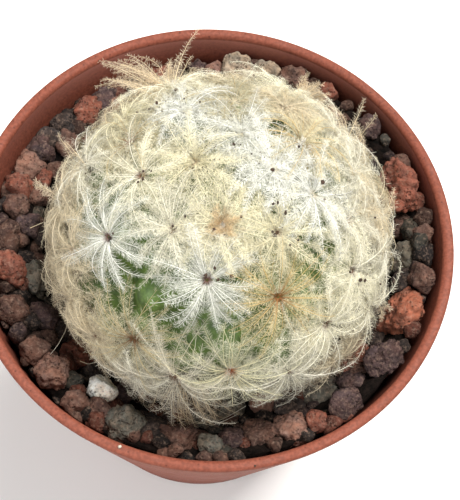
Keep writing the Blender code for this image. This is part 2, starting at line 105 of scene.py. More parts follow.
# Fine shape of the grains, and the small ones that lie between them
ROUNDING = 13.0
GRAIN_ROUGHNESS = 0.068
GRAIN_DETAIL = 1.3
GRAIN_FRACTAL = (0.7, 2.0, 4)
GRAIN_FULLNESS = 1.01
GRAIN_TONES = (0.8, 1.15)
GRAIN_PITTING = (0.2, 1.0)
GRAIN_SHIFT = (7.3, 3.1, 5.7)
PIT_SIZE = 0.95 * MM
PIT_REACH = 0.45
PIT_DEPTH = 0.3 * MM
LARGE_GRAIN = 4.5 * MM
PEBBLE_TRIALS = 1500
PEBBLE_RING = (15.5 * MM, 25.4 * MM)
PEBBLE_SIZES = (1.5 * MM, 3.1 * MM)
PEBBLE_ROOM = 0.36
PEBBLE_SPACING = 1.3 * MM
# Tones of the pebbles, random and all dark: painted shade, as they lie in the gaps
PEBBLE_SHADE_TONES = (0.25, 0.6)
PEBBLE_LIFTS = (-0.35, 0.2)
# Spots kept free of pebbles, where the near-black bed shows as painted shade
DARK_HOLES = ((382, 336), (366, 388), (394, 386), (373, 124))
HOLE_RADIUS = 1.9 * MM
WHITE_GRAIN_LIFT = 2.2 * MM
# Painted light: the white grain's colour is raised above full white, to look lit though it lies in the
# coat's shadow
WHITE_GRAIN_PAINTED_LIGHT = 1.3
BED_MIDDLE = 2 * MM
BED_RINGS = 16
BED_SIDES = 96
BED_CRUMB = 1.5 * MM
BED_ROUGHNESS = 0.25 * MM

# Plant
GLOBE_CENTRE = Vector((0.9 * MM, -1.1 * MM, 46.5 * MM))
GLOBE_MIDDLE = np.array(GLOBE_CENTRE)
AREOLE_RADIUS = 18.3 * MM
STAR_COUNT = 52
TUBERCLE_TIP_RADIUS = 17.45 * MM
VALLEY_RADIUS = 14.3 * MM
TUBERCLE_WIDTH = 3.0 * MM
TUBERCLE_POWER = 2.6
FORMULA_ABOVE = math.sin(math.radians(-12))
HUB_EDGES = 11
HUB_EDGE_SPREAD = 1.15
HUB_STEP_MM = 0.01

# Stage: reach of the floor, and the light of the room and of the lamps
FLOOR_REACH = 1.5
ROOM_LIGHT = 0.37
# Each lamp: name, direction, distance and size in metres, watts, colour
LAMPS = (
    ("key", (0.24, 0.25, 0.95), 0.55, 0.28, 6.3, (1.0, 0.98, 0.94)),
    ("fill", (-0.6, -0.8, 0.7), 0.6, 0.5, 2.6, (1.0, 1.0, 1.0)),
)

# Materials
DEFAULT_SPECULAR = 0.5
LIGHT_THROUGH_HAIR = 0.36

# The view in which the places of stars and grains were measured, in pixels of a 460 x 500 picture
VIEW_ELEVATION = math.radians(65.5)
VIEW_ROLL = math.radians(7.0)
VIEW_DISTANCE = 150.0 * MM
VIEW_FOCUS_PX = 1335.0
VIEW_MIDDLE_PX = (230.0, 250.0)
VIEW_LONG_SIDE_PX = 500.0
VIEW_AIM = Vector((2.17 * MM, -1.81 * MM, POT_HEIGHT))
VIEW_CLIP = (0.01, 10.0)
SENSOR_MM = 36.0
TOWARDS_EYE = Vector((0, -math.cos(VIEW_ELEVATION), math.sin(VIEW_ELEVATION)))
VIEW_UP = Vector((0, math.sin(VIEW_ELEVATION), math.cos(VIEW_ELEVATION)))
VIEW_RIGHT = Vector((1, 0, 0))
BARE_TUBERCLE = (143, 301)


def srgb(red, green, blue):
    """A colour given as in a picture, from 0 to 255, as the linear numbers that shaders take."""
    found = []
    for level in (red / 255, green / 255, blue / 255):
        found.append(level / 12.92 if level <= 0.04045 else ((level + 0.055) / 1.055) ** 2.4)
    return tuple(found)


STONE = {
    "red": srgb(116, 70, 57),
    "orange": srgb(142, 87, 68),
    "brown": srgb(86, 63, 55),
    "purple": srgb(74, 58, 57),
    "dark": srgb(55, 48, 46),
    "slate": srgb(92, 88, 79),
    "pink": srgb(118, 88, 77),
    "beige": srgb(140, 127, 111),
    # The white grain's colour carries painted light
    "white": tuple(WHITE_GRAIN_PAINTED_LIGHT * level for level in srgb(252, 247, 234)),
}

# Grains of the top layer: pixel of the middle, size in millimetres, colour
GRAINS_SEEN = (
    (197, 63, 3.0, "purple"), (160, 74, 3.6, "red"), (118, 105, 3.0, "pink"), (100, 92, 3.6, "purple"),
    (87, 110, 4.2, "red"), (61, 123, 3.4, "dark"), (25, 124, 3.6, "dark"), (30, 142, 4.2, "purple"),
    (67, 144, 3.8, "brown"), (22, 165, 4.2, "pink"), (58, 171, 3.2, "brown"), (43, 178, 2.6, "red"),
    (13, 184, 4.0, "red"), (39, 197, 3.0, "brown"), (16, 207, 3.6, "brown"), (27, 226, 3.4, "purple"),
    (9, 232, 3.2, "brown"), (39, 236, 2.8, "dark"), (8, 268, 4.6, "red"), (33, 277, 4.0, "slate"),
    (13, 311, 4.0, "brown"), (44, 316, 4.2, "purple"), (60, 330, 3.4, "dark"), (34, 351, 3.6, "brown"),
    (52, 374, 4.6, "pink"), (75, 357, 4.4, "red"), (92, 374, 3.4, "dark"), (102, 389, 3.7, "white"),
    (75, 402, 3.2, "pink"), (98, 410, 3.2, "brown"), (122, 395, 3.4, "purple"), (124, 424, 4.6, "slate"),
    (149, 426, 4.2, "dark"), (178, 437, 4.6, "brown"), (210, 446, 3.4, "slate"), (234, 439, 3.8, "purple"),
    (259, 434, 4.6, "brown"), (292, 429, 4.8, "pink"), (319, 422, 3.0, "red"), (320, 390, 4.6, "slate"),
    (346, 405, 4.2, "purple"), (353, 357, 5.2, "red"), (390, 361, 5.0, "purple"), (404, 312, 5.8, "orange"),
    (404, 281, 3.6, "dark"), (427, 279, 3.8, "brown"), (407, 255, 3.6, "slate"), (424, 234, 3.0, "brown"),
    (400, 225, 3.4, "brown"), (407, 186, 7.0, "red"), (368, 161, 3.2, "dark"), (373, 124, 3.4, "purple"),
    (338, 130, 2.6, "brown"), (333, 115, 3.2, "pink"), (328, 93, 3.0, "red"), (300, 70, 4.0, "brown"),
    (268, 69, 3.6, "beige"), (238, 64, 4.8, "beige"), (215, 72, 3.0, "pink"),
)
FILLER_COLOURS = ("dark", "purple", "brown", "red", "dark", "slate", "brown", "pink")

# Feather spines
STAR_SEEDS_FROM = 100
LOOSE_SEED = 77
DIRT_SEED = 5
GROWING_POINT = 1
SPINE_STEPS = 9
SPINES = 46
ROOT_RING = 0.16 * MM
TURN_DRIFT = 0.6
CURL = 0.1
WAVE = 0.05
UNREST_OF_FELT = 2.4
SHAFT_RADIUS = 0.05 * MM
SHAFT_SIDES = 3
SHAFT_TAPER = 0.6
THIN_SHAFT_RADIUS = 0.7 * SHAFT_RADIUS
BARBS = 142
BARB_WIDTH = 0.044 * MM
BARB_LENGTH = 0.9 * MM
BARB_SPREAD = (0.5, 1.2)
BARB_LEANS = (0.6, 1.3)
BARE_ROOT = 0.05
BARB_ROLL = 0.45
BARB_DROOP = 0.12
BARB_DROP = 0.02 * MM
BARB_TONES = (0.74, 1.1)
SPINE_TONES = (0.74, 1.08)
DARK_SHARE = 0.1
DARK_TONE = 0.5
SPINE_LENGTHS = (4.4 * MM, 7.2 * MM)
LIFTS = (math.radians(6), math.radians(54))
DIPS = (math.radians(-85), math.radians(-20))
CUSHION_RADIUS = 0.07 * MM
CUSHION_HEIGHT = 0.1 * MM
HUB_SPIKES = 16
HUB_SPIKE_LENGTHS = (0.25 * MM, 0.9 * MM)
HUB_SPIKE_LIFTS = (0.1, 1.0)
HUB_SPIKE_DIPS = (0.0, 0.4)
FELT_HAIRS = 2600
FELT_SPREAD = (1.0 * MM, 3.9 * MM)
FELT_HEIGHTS = (0.1 * MM, 1.1 * MM)
FELT_LENGTHS = (0.4 * MM, 1.3 * MM)
FELT_RISE = 0.22
LOOSE_ROOT_DRIFT_PX = 3.0
LOOSE_TIP_DRIFT_PX = 5.0
LOOSE_ROLL = 1.0
LOOSE_HAIRS = 120
LOOSE_HAIR_LENGTH = 0.7 * MM
LOOSE_SWAY = 0.15
LOOSE_BULGE = (0.1, 0.35)
LOOSE_WANDER = 0.03 * MM
LOOSE_SHAFT_TINT = srgb(250, 234, 200)
LOOSE_HAIR_TINT = srgb(230, 214, 188)
THREAD_RADIUS = 0.05 * MM
THREAD_END_TINT = srgb(220, 200, 160)
LOWEST_OVER_GRIT = 0.5 * MM

# Tints of a star: shafts, hairs, and the share of each shaft over which it turns from the middle's colour
TINTS = {
    "bright": (srgb(255, 255, 252), srgb(252, 252, 244), 0.05),
    "white": (srgb(255, 255, 250), srgb(242, 242, 232), 0.1),
    "cream": (srgb(254, 251, 238), srgb(245, 241, 222), 0.1),
    "light": (srgb(255, 252, 236), srgb(255, 250, 227), 0.1),
    "yellow": (srgb(253, 247, 220), srgb(244, 238, 210), 0.12),
    "gold": (srgb(234, 212, 160), srgb(238, 229, 196), 0.35),
    "golden": (srgb(226, 200, 142), srgb(236, 224, 184), 0.4),
    "tan": (srgb(206, 188, 146), srgb(216, 209, 180), 0.35),
    "beige": (srgb(240, 228, 200), srgb(236, 224, 196), 0.15),
    "grey": (srgb(232, 226, 208), srgb(224, 218, 200), 0.15),
    "pale_green": (srgb(236, 230, 196), srgb(222, 220, 194), 0.15),
}

# Colours of the middle of a star
MIDDLES = {
    "dark": srgb(124, 82, 62),
    "brown": srgb(132, 92, 62),
    "orange": srgb(172, 88, 36),
    "amber": srgb(160, 108, 60),
    "faint": srgb(206, 184, 152),
    "none": srgb(236, 228, 206),
}

# Each measured star: tint, middle, and shares of the full hairs, of the usual length and of the felt
STAR_LOOKS = (
    ("yellow", "faint", 1, 0.9, 0.4), ("cream", "brown", 0.95, 1, 0.1), ("yellow", "faint", 1, 1, 0.15),
    ("light", "brown", 1, 1.05, 0.05), ("white", "dark", 1, 1.05, 0), ("tan", "brown", 0.8, 1.05, 0.1),
    ("white", "dark", 1, 1.05, 0), ("golden", "amber", 0.85, 1.1, 0), ("light", "brown", 1.15, 1, 0.3),
    ("light", "brown", 1.2, 1, 0.4), ("grey", "brown", 1.1, 1.4, 0.2),
    ("pale_green", "orange", 1, 1.1, 0.1), ("bright", "none", 1.1, 1.15, 0.1),
    ("yellow", "dark", 0.95, 1, 0), ("white", "faint", 1.1, 1, 0.2), ("gold", "brown", 0.95, 1, 0.1),
    ("light", "faint", 1.2, 1.15, 0.8), ("light", "orange", 1, 1, 0.4), ("tan", "none", 1.1, 0.8, 0.8),
    ("bright", "none", 1.1, 1, 0.3), ("bright", "none", 1.1, 1, 0.1), ("yellow", "faint", 1, 1, 0.3),
    ("cream", "faint", 1, 1, 0.4), ("beige", "brown", 1.05, 1, 0.7), ("beige", "faint", 1, 0.95, 0.7),
    ("beige", "faint", 1.1, 0.95, 0.7), ("beige", "brown", 1.1, 0.85, 0.7),
    ("cream", "brown", 1.15, 1, 0.4), ("light", "faint", 1.15, 1, 0.6), ("cream", "faint", 1, 0.9, 0.6),
    ("beige", "none", 1, 0.9, 0.6), ("cream", "faint", 1, 0.95, 0.4), ("cream", "faint", 1, 0.95, 0.3),
)
OTHER_LOOKS = (
    ("cream", "brown", 0.9, 0.88, 0.5), ("tan", "dark", 0.9, 0.88, 0.5), ("beige", "faint", 0.9, 0.88, 0.5),
    ("beige", "brown", 0.9, 0.88, 0.5),
)

# Stars in the notch between the two lobes at the back, with shorter spines: share of the usual length
SHORT_STARS = {43: 0.5}

# Short upright young spines in the middle of some stars: number of the star, and of its spines
TUFTS = {1: 40, 2: 8, 3: 18, 14: 8, 15: 14, 16: 16, 17: 16, 18: 16, 20: 12, 22: 10, 33: 10}
TUFT_LENGTHS = (0.9 * MM, 2.6 * MM)
TUFT_LIFTS = (0.6, 1.5)
TUFT_DIPS = (-0.4, 1.0)
TUFT_RING = 0.1 * MM
TUFT_SHAFT_RADIUS = 0.6 * SHAFT_RADIUS
TUFT_BROWN_REACH = 0.3
TUFT_HAIRS = 90
TUFT_HAIR_LENGTH = 0.5 * MM
TUFT_TINT = srgb(234, 212, 174)

# Places where the green skin shows between the hairs: pixel and radius in pixels
BARE_PLACES = (
    (277, 128, 9), (150, 303, 15), (196, 344, 10), (232, 333, 10), (328, 246, 7), (316, 272, 6),
    (66, 229, 6), (297, 180, 4), (206, 140, 3),
)
BARE_SHARE = 0.85

# Long spines that stand off the coat: pixels of root and tip, height of the tip off the coat, their number
LOOSE_SPINES = (
    ((172, 96), (190, 34), 4.0, 1), ((172, 90), (180, 58), 2.6, 3), ((168, 92), (120, 64), 3.4, 6),
    ((164, 95), (106, 72), 3.0, 6), ((160, 98), (102, 88), 2.4, 4), ((168, 90), (142, 72), 2.6, 5),
    ((178, 92), (198, 80), 2.0, 5), ((150, 104), (128, 96), 1.8, 5), ((345, 150), (333, 112), 2.2, 4),
    ((347, 150), (372, 108), 2.4, 2), ((352, 155), (356, 128), 2.0, 4), ((362, 175), (364, 146), 1.8, 4),
    ((380, 225), (391, 188), 1.4, 3), ((110, 130), (112, 106), 1.6, 4), ((85, 165), (60, 138), 2.0, 3),
    ((62, 200), (38, 184), 1.6, 4), ((150, 383), (143, 408), 1.2, 2), ((383, 300), (384, 318), 1.2, 3),
    ((170, 92), (114, 76), 2.6, 6), ((172, 94), (132, 82), 2.2, 6), ((172, 90), (168, 66), 2.0, 5),
    ((298, 98), (320, 88), 1.4, 9), ((296, 96), (306, 82), 1.2, 6), ((302, 104), (322, 98), 1.2, 6),
    ((178, 380), (172, 414), 0.8, 5), ((182, 382), (194, 422), 0.8, 8), ((190, 382), (212, 418), 0.8, 8),
    ((200, 384), (228, 410), 0.8, 6),
)

# Stray bare hairs along the coat's edge, as pixels
THREADS = (
    ((70, 312), (66, 330), (58, 345), (50, 355)), ((80, 361), (88, 364), (97, 362)),
    ((152, 390), (143, 396), (144, 406), (151, 412)), ((172, 414), (196, 424), (222, 420), (246, 406)),
    ((178, 408), (190, 420), (214, 426), (238, 414)), ((30, 228), (44, 222), (56, 230)),
    ((387, 190), (394, 202), (395, 216)), ((392, 232), (396, 246), (391, 258)),
    ((168, 398), (166, 412), (176, 418)),
)

# Crumbs of dirt caught in the coat: pixel, size in millimetres
CRUMBS = (
    (199, 103, 0.22), (232, 142, 0.34), (270, 171, 0.42), (287, 214, 0.42), (277, 233, 0.5),
    (297, 238, 0.36), (242, 214, 0.3), (212, 227, 0.44), (325, 197, 0.26), (322, 181, 0.44),
    (280, 201, 0.32), (273, 207, 0.32), (378, 218, 0.34), (261, 164, 0.2), (243, 143, 0.2),
    (252, 151, 0.2), (156, 101, 0.34), (148, 110, 0.26), (136, 110, 0.22), (163, 102, 0.16),
    (171, 103, 0.16), (180, 105, 0.26), (174, 90, 0.4), (183, 96, 0.26), (141, 171, 0.26),
    (142, 176, 0.36), (139, 179, 0.26), (152, 174, 0.26), (84, 172, 0.2), (183, 218, 0.26),
    (215, 270, 0.42), (218, 283, 0.32), (230, 279, 0.42), (204, 279, 0.3), (209, 276, 0.36),
    (107, 238, 0.36), (110, 234, 0.24), (352, 270, 0.3), (363, 278, 0.5), (367, 280, 0.36),
    (383, 284, 0.3), (275, 230, 0.3), (173, 229, 0.3), (170, 226, 0.2), (302, 147, 0.3),
    (226, 233, 0.22), (180, 212, 0.2), (290, 243, 0.2),
)

# Clouds of specks: pixel of the middle, spread in pixels, number
SPECKS = (
    ((208, 152), 9.0, 40), ((200, 165), 7.0, 16), ((170, 105), 9.0, 12), ((285, 190), 22.0, 26),
    ((262, 150), 14.0, 16), ((225, 160), 12.0, 14), ((345, 200), 14.0, 14), ((150, 260), 30.0, 14),
    ((230, 300), 40.0, 18), ((330, 260), 26.0, 14), ((120, 200), 24.0, 12), ((370, 240), 14.0, 12),
)
SPECK_SIZES = (0.08 * MM, 0.17 * MM)
CRUMB_TINT = srgb(58, 42, 32)
CRUMB_SCALE = 1.3
CRUMB_CATCH = 0.34 * MM
CRUMB_LIFT = 0.7
CRUMB_SWELLS = (0.7, 1.2)
CRUMB_SIDES = (0.6, 1.1)
CRUMB_TONES = (0.6, 1.3)
LIP_CRUMB_LIFT = 0.25
PALE_TINT = srgb(214, 204, 188)
CATCH_STEPS = 30

# Crumbs on the pot's lip: pixel, size in millimetres, and whether they are pale
LIP_CRUMBS = (
    (120, 447, 0.5, True), (60, 90, 0.22, False), (180, 33, 0.2, False), (441, 330, 0.24, False),
    (401, 408, 0.2, False), (352, 440, 0.22, False), (60, 404, 0.2, False), (255, 466, 0.24, False),
)


def polar(distance, turn, z=0.0):
    """Point at a distance from the Z axis and a turn round it."""
    return Vector((distance * math.cos(turn), distance * math.sin(turn), z))


def flat_gap(a, b):
    """Level distance between two points."""
    return (a - b).to_2d().length


def sight_line(pixel):
    """Eye and direction of the line of sight through a pixel of the view."""
    dx = pixel[0] - VIEW_MIDDLE_PX[0]
    dy = pixel[1] - VIEW_MIDDLE_PX[1]
    across = math.cos(VIEW_ROLL) * dx + math.sin(VIEW_ROLL) * dy
    down = math.cos(VIEW_ROLL) * dy - math.sin(VIEW_ROLL) * dx
    direction = VIEW_RIGHT * across - VIEW_UP * down - TOWARDS_EYE * VIEW_FOCUS_PX
    return VIEW_AIM + TOWARDS_EYE * VIEW_DISTANCE, direction.normalized()


def seen_on_level(pixel, z):
    """Where a sight line meets a level plane."""
    eye, direction = sight_line(pixel)
    return eye + direction * ((z - eye.z) / direction.z)


def seen_on_globe(pixel, radius):
    """Direction from the globe's centre to where a sight line meets it, or passes it most closely."""
    eye, direction = sight_line(pixel)
    along = (GLOBE_CENTRE - eye).dot(direction)
    nearest = eye + direction * along - GLOBE_CENTRE
    depth = math.sqrt(max(radius ** 2 - nearest.length_squared, 0.0))
    return (nearest - direction * depth).normalized()


def nearest_on_sight_line(pixel, place):
    """The point of a pixel's sight line that lies nearest to a place."""
    eye, direction = sight_line(pixel)
    return eye + direction * (place - eye).dot(direction)


# Helpers for materials

class Nodes:
    """Short way to add and join the nodes of a material."""

    def __init__(self, name):
        self.material = bpy.data.materials.new(name)
        self.material.use_nodes = True
        self.tree = self.material.node_tree
        self.shader = self.tree.nodes["Principled BSDF"]

    def add(self, kind, settings=None, **inputs):
        node = self.tree.nodes.new("ShaderNode" + kind)
        for key, value in (settings or {}).items():
            setattr(node, key, value)
        for key, value in inputs.items():
            self.feed(node.inputs[key.replace("_", " ")], value)
        return node

    def feed(self, socket, value):
        if isinstance(value, bpy.types.NodeSocket):
            self.tree.links.new(value, socket)
        else:
            socket.default_value = value

    def place(self):
        """Object coordinates, in metres: every piece sits at the origin."""
        return self.add("TexCoord").outputs["Object"]

    def noise(self, size, detail=3.0, roughness=0.55):
        """Noise with waves of a size in millimetres."""
        node = self.add("TexNoise", Vector=self.place(), Scale=1 / (size * MM), Detail=detail,
                        Roughness=roughness)
        return node.outputs["Fac"]

    def cells(self, size):
        """Distance to the nearest of points that lie a size in millimetres apart."""
        node = self.add("TexVoronoi", Vector=self.place(), Scale=1 / (size * MM))
        return node.outputs["Distance"]

    def ramp(self, factor, *stops):
        """Colours or grey levels at places from 0 to 1."""
        node = self.add("ValToRGB", Fac=factor)
        elements = node.color_ramp.elements
        while len(elements) < len(stops):
            elements.new(1.0)
        for element, (position, colour) in zip(elements, stops):
            element.position = position
            element.color = (*colour, 1.0) if isinstance(colour, tuple) else (colour, colour, colour, 1.0)
        return node.outputs["Color"]

    def clouds(self, waves, *stops):
        """A ramp over noise of the given waves."""
        return self.ramp(self.noise(*waves), *stops)

    def mix(self, factor, a, b, blend="MIX"):
        node = self.add("Mix", {"data_type": "RGBA", "blend_type": blend})
        self.feed(node.inputs[0], factor)
        self.feed(node.inputs[6], a if not isinstance(a, tuple) else (*a, 1.0))
        self.feed(node.inputs[7], b if not isinstance(b, tuple) else (*b, 1.0))
        return node.outputs[2]

    def math(self, operation, a, b):
        node = self.add("Math", {"operation": operation})
        self.feed(node.inputs[0], a)
        self.feed(node.inputs[1], b)
        return node.outputs[0]

    def times(self, a, b):
        return self.math("MULTIPLY", a, b)

    def tint(self):
        return self.add("Attribute", {"attribute_name": "tint"}).outputs["Color"]

    def bump(self, height, distance, strength=1.0):
        """Relief of a height in millimetres."""
        node = self.add("Bump", Height=height, Distance=distance * MM, Strength=strength)
        self.feed(self.shader.inputs["Normal"], node.outputs["Normal"])

    def surface(self, colour, roughness, specular=DEFAULT_SPECULAR):
        """Colour and roughness, from numbers or sockets, and gloss."""
        self.feed(self.shader.inputs["Base Color"], colour)
        self.feed(self.shader.inputs["Roughness"], roughness)
        self.shader.inputs["Specular IOR Level"].default_value = specular


# Materials

def plastic_material():
    """Speckled terracotta-coloured plastic, with painted light: paler inside, in a band under the lip at
    the back.
    """
    nodes = Nodes("terracotta_plastic")
    base = nodes.mix(nodes.noise(9, 4.0), srgb(121, 64, 49), srgb(134, 78, 62))
    fine = nodes.clouds((0.35, 2.0), (0.36, 0.0), (0.64, 0.6))
    base = nodes.mix(fine, base, srgb(91, 49, 38))
    specks = nodes.ramp(nodes.cells(0.9), (0.10, 0.6), (0.17, 0.0))
    base = nodes.mix(specks, base, srgb(66, 34, 26))
    x, y, z = nodes.add("SeparateXYZ", Vector=nodes.place()).outputs
    from_axis = nodes.math("SQRT", nodes.math("ADD", nodes.times(x, x), nodes.times(y, y)), 0.0)
    widening = nodes.times(z, (RIM_RADIUS - BASE_RADIUS) / POT_HEIGHT)
    inside = nodes.math("LESS_THAN", nodes.math("SUBTRACT", from_axis, widening), BASE_RADIUS - WALL / 2)
    height = nodes.times(z, 1 / POT_HEIGHT)
    # Painted light: a paler band on the inner wall at the back, under the lip, where light falls into the
    # pot
    painted_light_band = nodes.ramp(height, (0.918, 0.0), (0.968, 0.25), (0.985, 0.4), (0.989, 0.0))
    at_back = nodes.ramp(nodes.times(y, 1 / RIM_RADIUS), (0.1, 0.0), (0.7, 1.0))
    base = nodes.mix(nodes.times(nodes.times(inside, painted_light_band), at_back), base, srgb(226, 158, 144))
    nodes.surface(base, nodes.clouds((2,), (0.3, 0.5), (0.7, 0.7)), 0.14)
    nodes.bump(nodes.noise(0.4, 4.0), 0.06, 0.8)
    return nodes.material


def stone_material():
    """Lava and pumice: the grain's own tint, mottled, with light dust, and painted shade darkening its
    pits.
    """
    nodes = Nodes("grit_stone")
    hue = nodes.clouds((1.7, 3.0), (0.36, (0.86, 0.92, 0.98)), (0.64, (1.1, 1.0, 0.92)))
    mottle = nodes.clouds((1.1, 5.0, 0.7), (0.3, 0.42), (0.7, 1.4))
    base = nodes.mix(1.0, nodes.mix(1.0, nodes.tint(), hue, "MULTIPLY"), mottle, "MULTIPLY")
    dust = nodes.clouds((0.4, 3.0, 0.7), (0.5, 0.0), (0.72, 0.4))
    base = nodes.mix(dust, base, srgb(150, 126, 110))
    pits = nodes.ramp(nodes.cells(0.42), (0.2, 1.0), (0.38, 0.0))
    hollow = nodes.times(pits, nodes.clouds((1.3, 2.0), (0.38, 0.0), (0.52, 1.0)))
    # Painted shade: the pits are darkened towards near black, as shade inside the hollows
    base = nodes.mix(nodes.times(hollow, 0.5), base, srgb(34, 26, 23))
    nodes.surface(base, nodes.clouds((0.8,), (0.3, 0.8), (0.7, 0.98)), 0.15)
    height = nodes.math("SUBTRACT", nodes.noise(0.3, 5.0, 0.7), nodes.times(hollow, 0.8))
    nodes.bump(height, 0.18, 0.9)
    return nodes.material


def bed_material():
    """Deep grit between the top grains: crumbs coloured nearly black, as painted shade in the gaps between
    them.
    """
    nodes = Nodes("deep_grit")
    # Painted shade: the bed's colour is near black so that the gaps between the grains read as shade
    base = nodes.clouds((0.8, 4.0, 0.7), (0.35, srgb(8, 7, 6)), (0.75, srgb(34, 26, 23)))
    nodes.surface(base, 0.95, 0.05)
    nodes.bump(nodes.noise(0.6, 4.0, 0.7), 0.4)
    return nodes.material


def flesh_material():
    """Waxy green skin, lighter in patches."""
    nodes = Nodes("plant_skin")
    base = nodes.clouds((1.6, 4.0), (0.3, srgb(56, 80, 32)), (0.7, srgb(100, 126, 56)))
    fine = nodes.clouds((0.25, 2.0), (0.35, 0.8), (0.65, 1.15))
    roughness = nodes.clouds((0.6,), (0.3, 0.4), (0.7, 0.55))
    nodes.surface(nodes.mix(1.0, base, fine, "MULTIPLY"), roughness)
    nodes.shader.inputs["Subsurface Weight"].default_value = 0.15
    nodes.shader.inputs["Subsurface Scale"].default_value = 0.8 * MM
    nodes.bump(nodes.noise(0.3, 3.0), 0.05, 0.5)
    return nodes.material


def feather_material():
    """Hair that lets light through: the tint along the spine, varied from hair to hair."""
    nodes = Nodes("feather_hair")
    vary = nodes.clouds((0.5, 2.0), (0.3, 0.9), (0.7, 1.06))
    base = nodes.mix(1.0, nodes.tint(), vary, "MULTIPLY")
    nodes.surface(base, 0.6, 0.3)
    glow = nodes.add("BsdfTranslucent", Color=base)
    both = nodes.add("MixShader")
    for i, value in enumerate((LIGHT_THROUGH_HAIR, nodes.shader.outputs[0], glow.outputs[0])):
        nodes.feed(both.inputs[i], value)
    nodes.feed(nodes.tree.nodes["Material Output"].inputs["Surface"], both.outputs[0])
    return nodes.material


def dirt_material():
    """Crumbs of dark peat, and a few of pale stone dust, by their tint."""
    nodes = Nodes("dirt_crumbs")
    vary = nodes.clouds((0.2,), (0.3, 0.7), (0.7, 1.3))
    nodes.surface(nodes.mix(1.0, nodes.tint(), vary, "MULTIPLY"), 0.9)
    nodes.bump(nodes.noise(0.08), 0.04)
    return nodes.material


def floor_material():
    """Plain pale board."""
    nodes = Nodes("pale_floor")
    base = nodes.clouds((60, 2.0), (0.3, srgb(246, 245, 243)), (0.7, srgb(250, 250, 249)))
    nodes.surface(base, 0.7)
    return nodes.material


# Helpers for meshes

class Bundle:
    """Points, triangles and tints of many small parts, gathered for one mesh."""

    def __init__(self):
        self.points = []
        self.triangles = []
        self.tints = []
        self.count = 0

    def add(self, points, triangles, tint):
        """Add a part: its points, its triangles, and one tint for all or one for each point."""
        self.points.append(points)
        self.triangles.append(triangles + self.count)
        self.tints.append(np.broadcast_to(np.asarray(tint), (len(points), 3)))
        self.count += len(points)

    def mesh(self):
        return triangle_mesh(*[np.concatenate(part) for part in (self.points, self.triangles, self.tints)])


def triangle_mesh(points, triangles, tints=None):
    """Smooth mesh from arrays of points and of corner numbers, with a tint at each point."""
    mesh = bpy.data.meshes.new("triangles")
    mesh.from_pydata(points, [], triangles, shade_flat=False)
    if tints is not None:
        attribute = mesh.attributes.new("tint", "FLOAT_COLOR", "POINT")
        colours = np.ones((len(points), 4), np.float32)
        colours[:, :3] = tints
        attribute.data.foreach_set("color", colours.ravel())
    return mesh


def new_object(name, data):
    """A new object in the scene."""
    made = bpy.data.objects.new(name, data)
    bpy.context.scene.collection.objects.link(made)
    return made


def add_object(name, mesh, material, node_names=()):
    """Puts a piece in the scene, riding on the root body, for the nodes that it stands for."""
    piece = new_object(name, mesh)
    mesh.name = name
    mesh.materials.append(material)
    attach(piece, "root")
    if node_names:
        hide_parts(*node_names)
    return piece


def ring_mesh(rings):
    """Closed mesh over rings of points, with a fan at a single point and a flat face at any other end."""
    bm = bmesh.new()
    rows = [[bm.verts.new(point) for point in points] for points in rings]
    for one, two in zip(rows, rows[1:]):
        sides = max(len(one), len(two))
        for i in range(sides):
            after = (i + 1) % sides
            corners = (one[i % len(one)], two[i % len(two)], two[after % len(two)], one[after % len(one)])
            bm.faces.new(dict.fromkeys(corners))
    for row in (rows[0], rows[-1]):
        if len(row) > 1:
            bm.faces.new(row)
    bmesh.ops.recalc_face_normals(bm, faces=bm.faces)
    mesh = bpy.data.meshes.new("rings")
    bm.to_mesh(mesh)
    bm.free()
    return mesh


def turned(profile, sides):
    """Mesh turned round Z from a profile whose first and last points are on the axis."""
    rings = []
    for radius, z in profile:
        rings.append([polar(radius, math.tau * i / sides, z) for i in range(sides if radius else 1)])
    return ring_mesh(rings)


def ball(fineness):
    """Points and triangles of a ball of radius 1."""
    bm = bmesh.new()
    bmesh.ops.create_icosphere(bm, subdivisions=fineness, radius=1.0)
    points = np.array([corner.co for corner in bm.verts])
    triangles = np.array([[corner.index for corner in face.verts] for face in bm.faces])
    bm.free()
    return points, triangles


# Pot

def inner_wall(z):
    """Inner radius of the pot's tapered wall at a height."""
    return BASE_RADIUS + (RIM_RADIUS - BASE_RADIUS) * z / POT_HEIGHT - WALL


def round_edge(radius, z, size, start):
    """Quarter round of a section's corner, clockwise from the angle at which it starts."""
    middle_radius = radius + size if start == math.pi else radius - size
    middle_z = z - size if start else z + size
    points = []
    for i in range(EDGE_POINTS):
        turn = start - math.pi / 2 * i / (EDGE_POINTS - 1)
        points.append((middle_radius + size * math.cos(turn), middle_z + size * math.sin(turn)))
    return points


def pot_profile():
    """Half section: floor, tapered wall up to the thicker lip, its round edges, wall down to the foot."""
    lip_inside = RIM_RADIUS - LIP_WIDTH
    lip_foot = POT_HEIGHT * (lip_inside + WALL - BASE_RADIUS) / (RIM_RADIUS - BASE_RADIUS)
    inner_edge = round_edge(lip_inside, POT_HEIGHT, LIP_INNER_EDGE, math.pi)
    outer_edge = round_edge(RIM_RADIUS, POT_HEIGHT, LIP_OUTER_EDGE, math.pi / 2)
    foot_edge = round_edge(BASE_RADIUS, 0, FOOT_EDGE, 0)
    start = [(0, FLOOR), (inner_wall(FLOOR), FLOOR), (lip_inside, lip_foot)]
    return start + inner_edge + outer_edge + foot_edge + [(0, 0)]


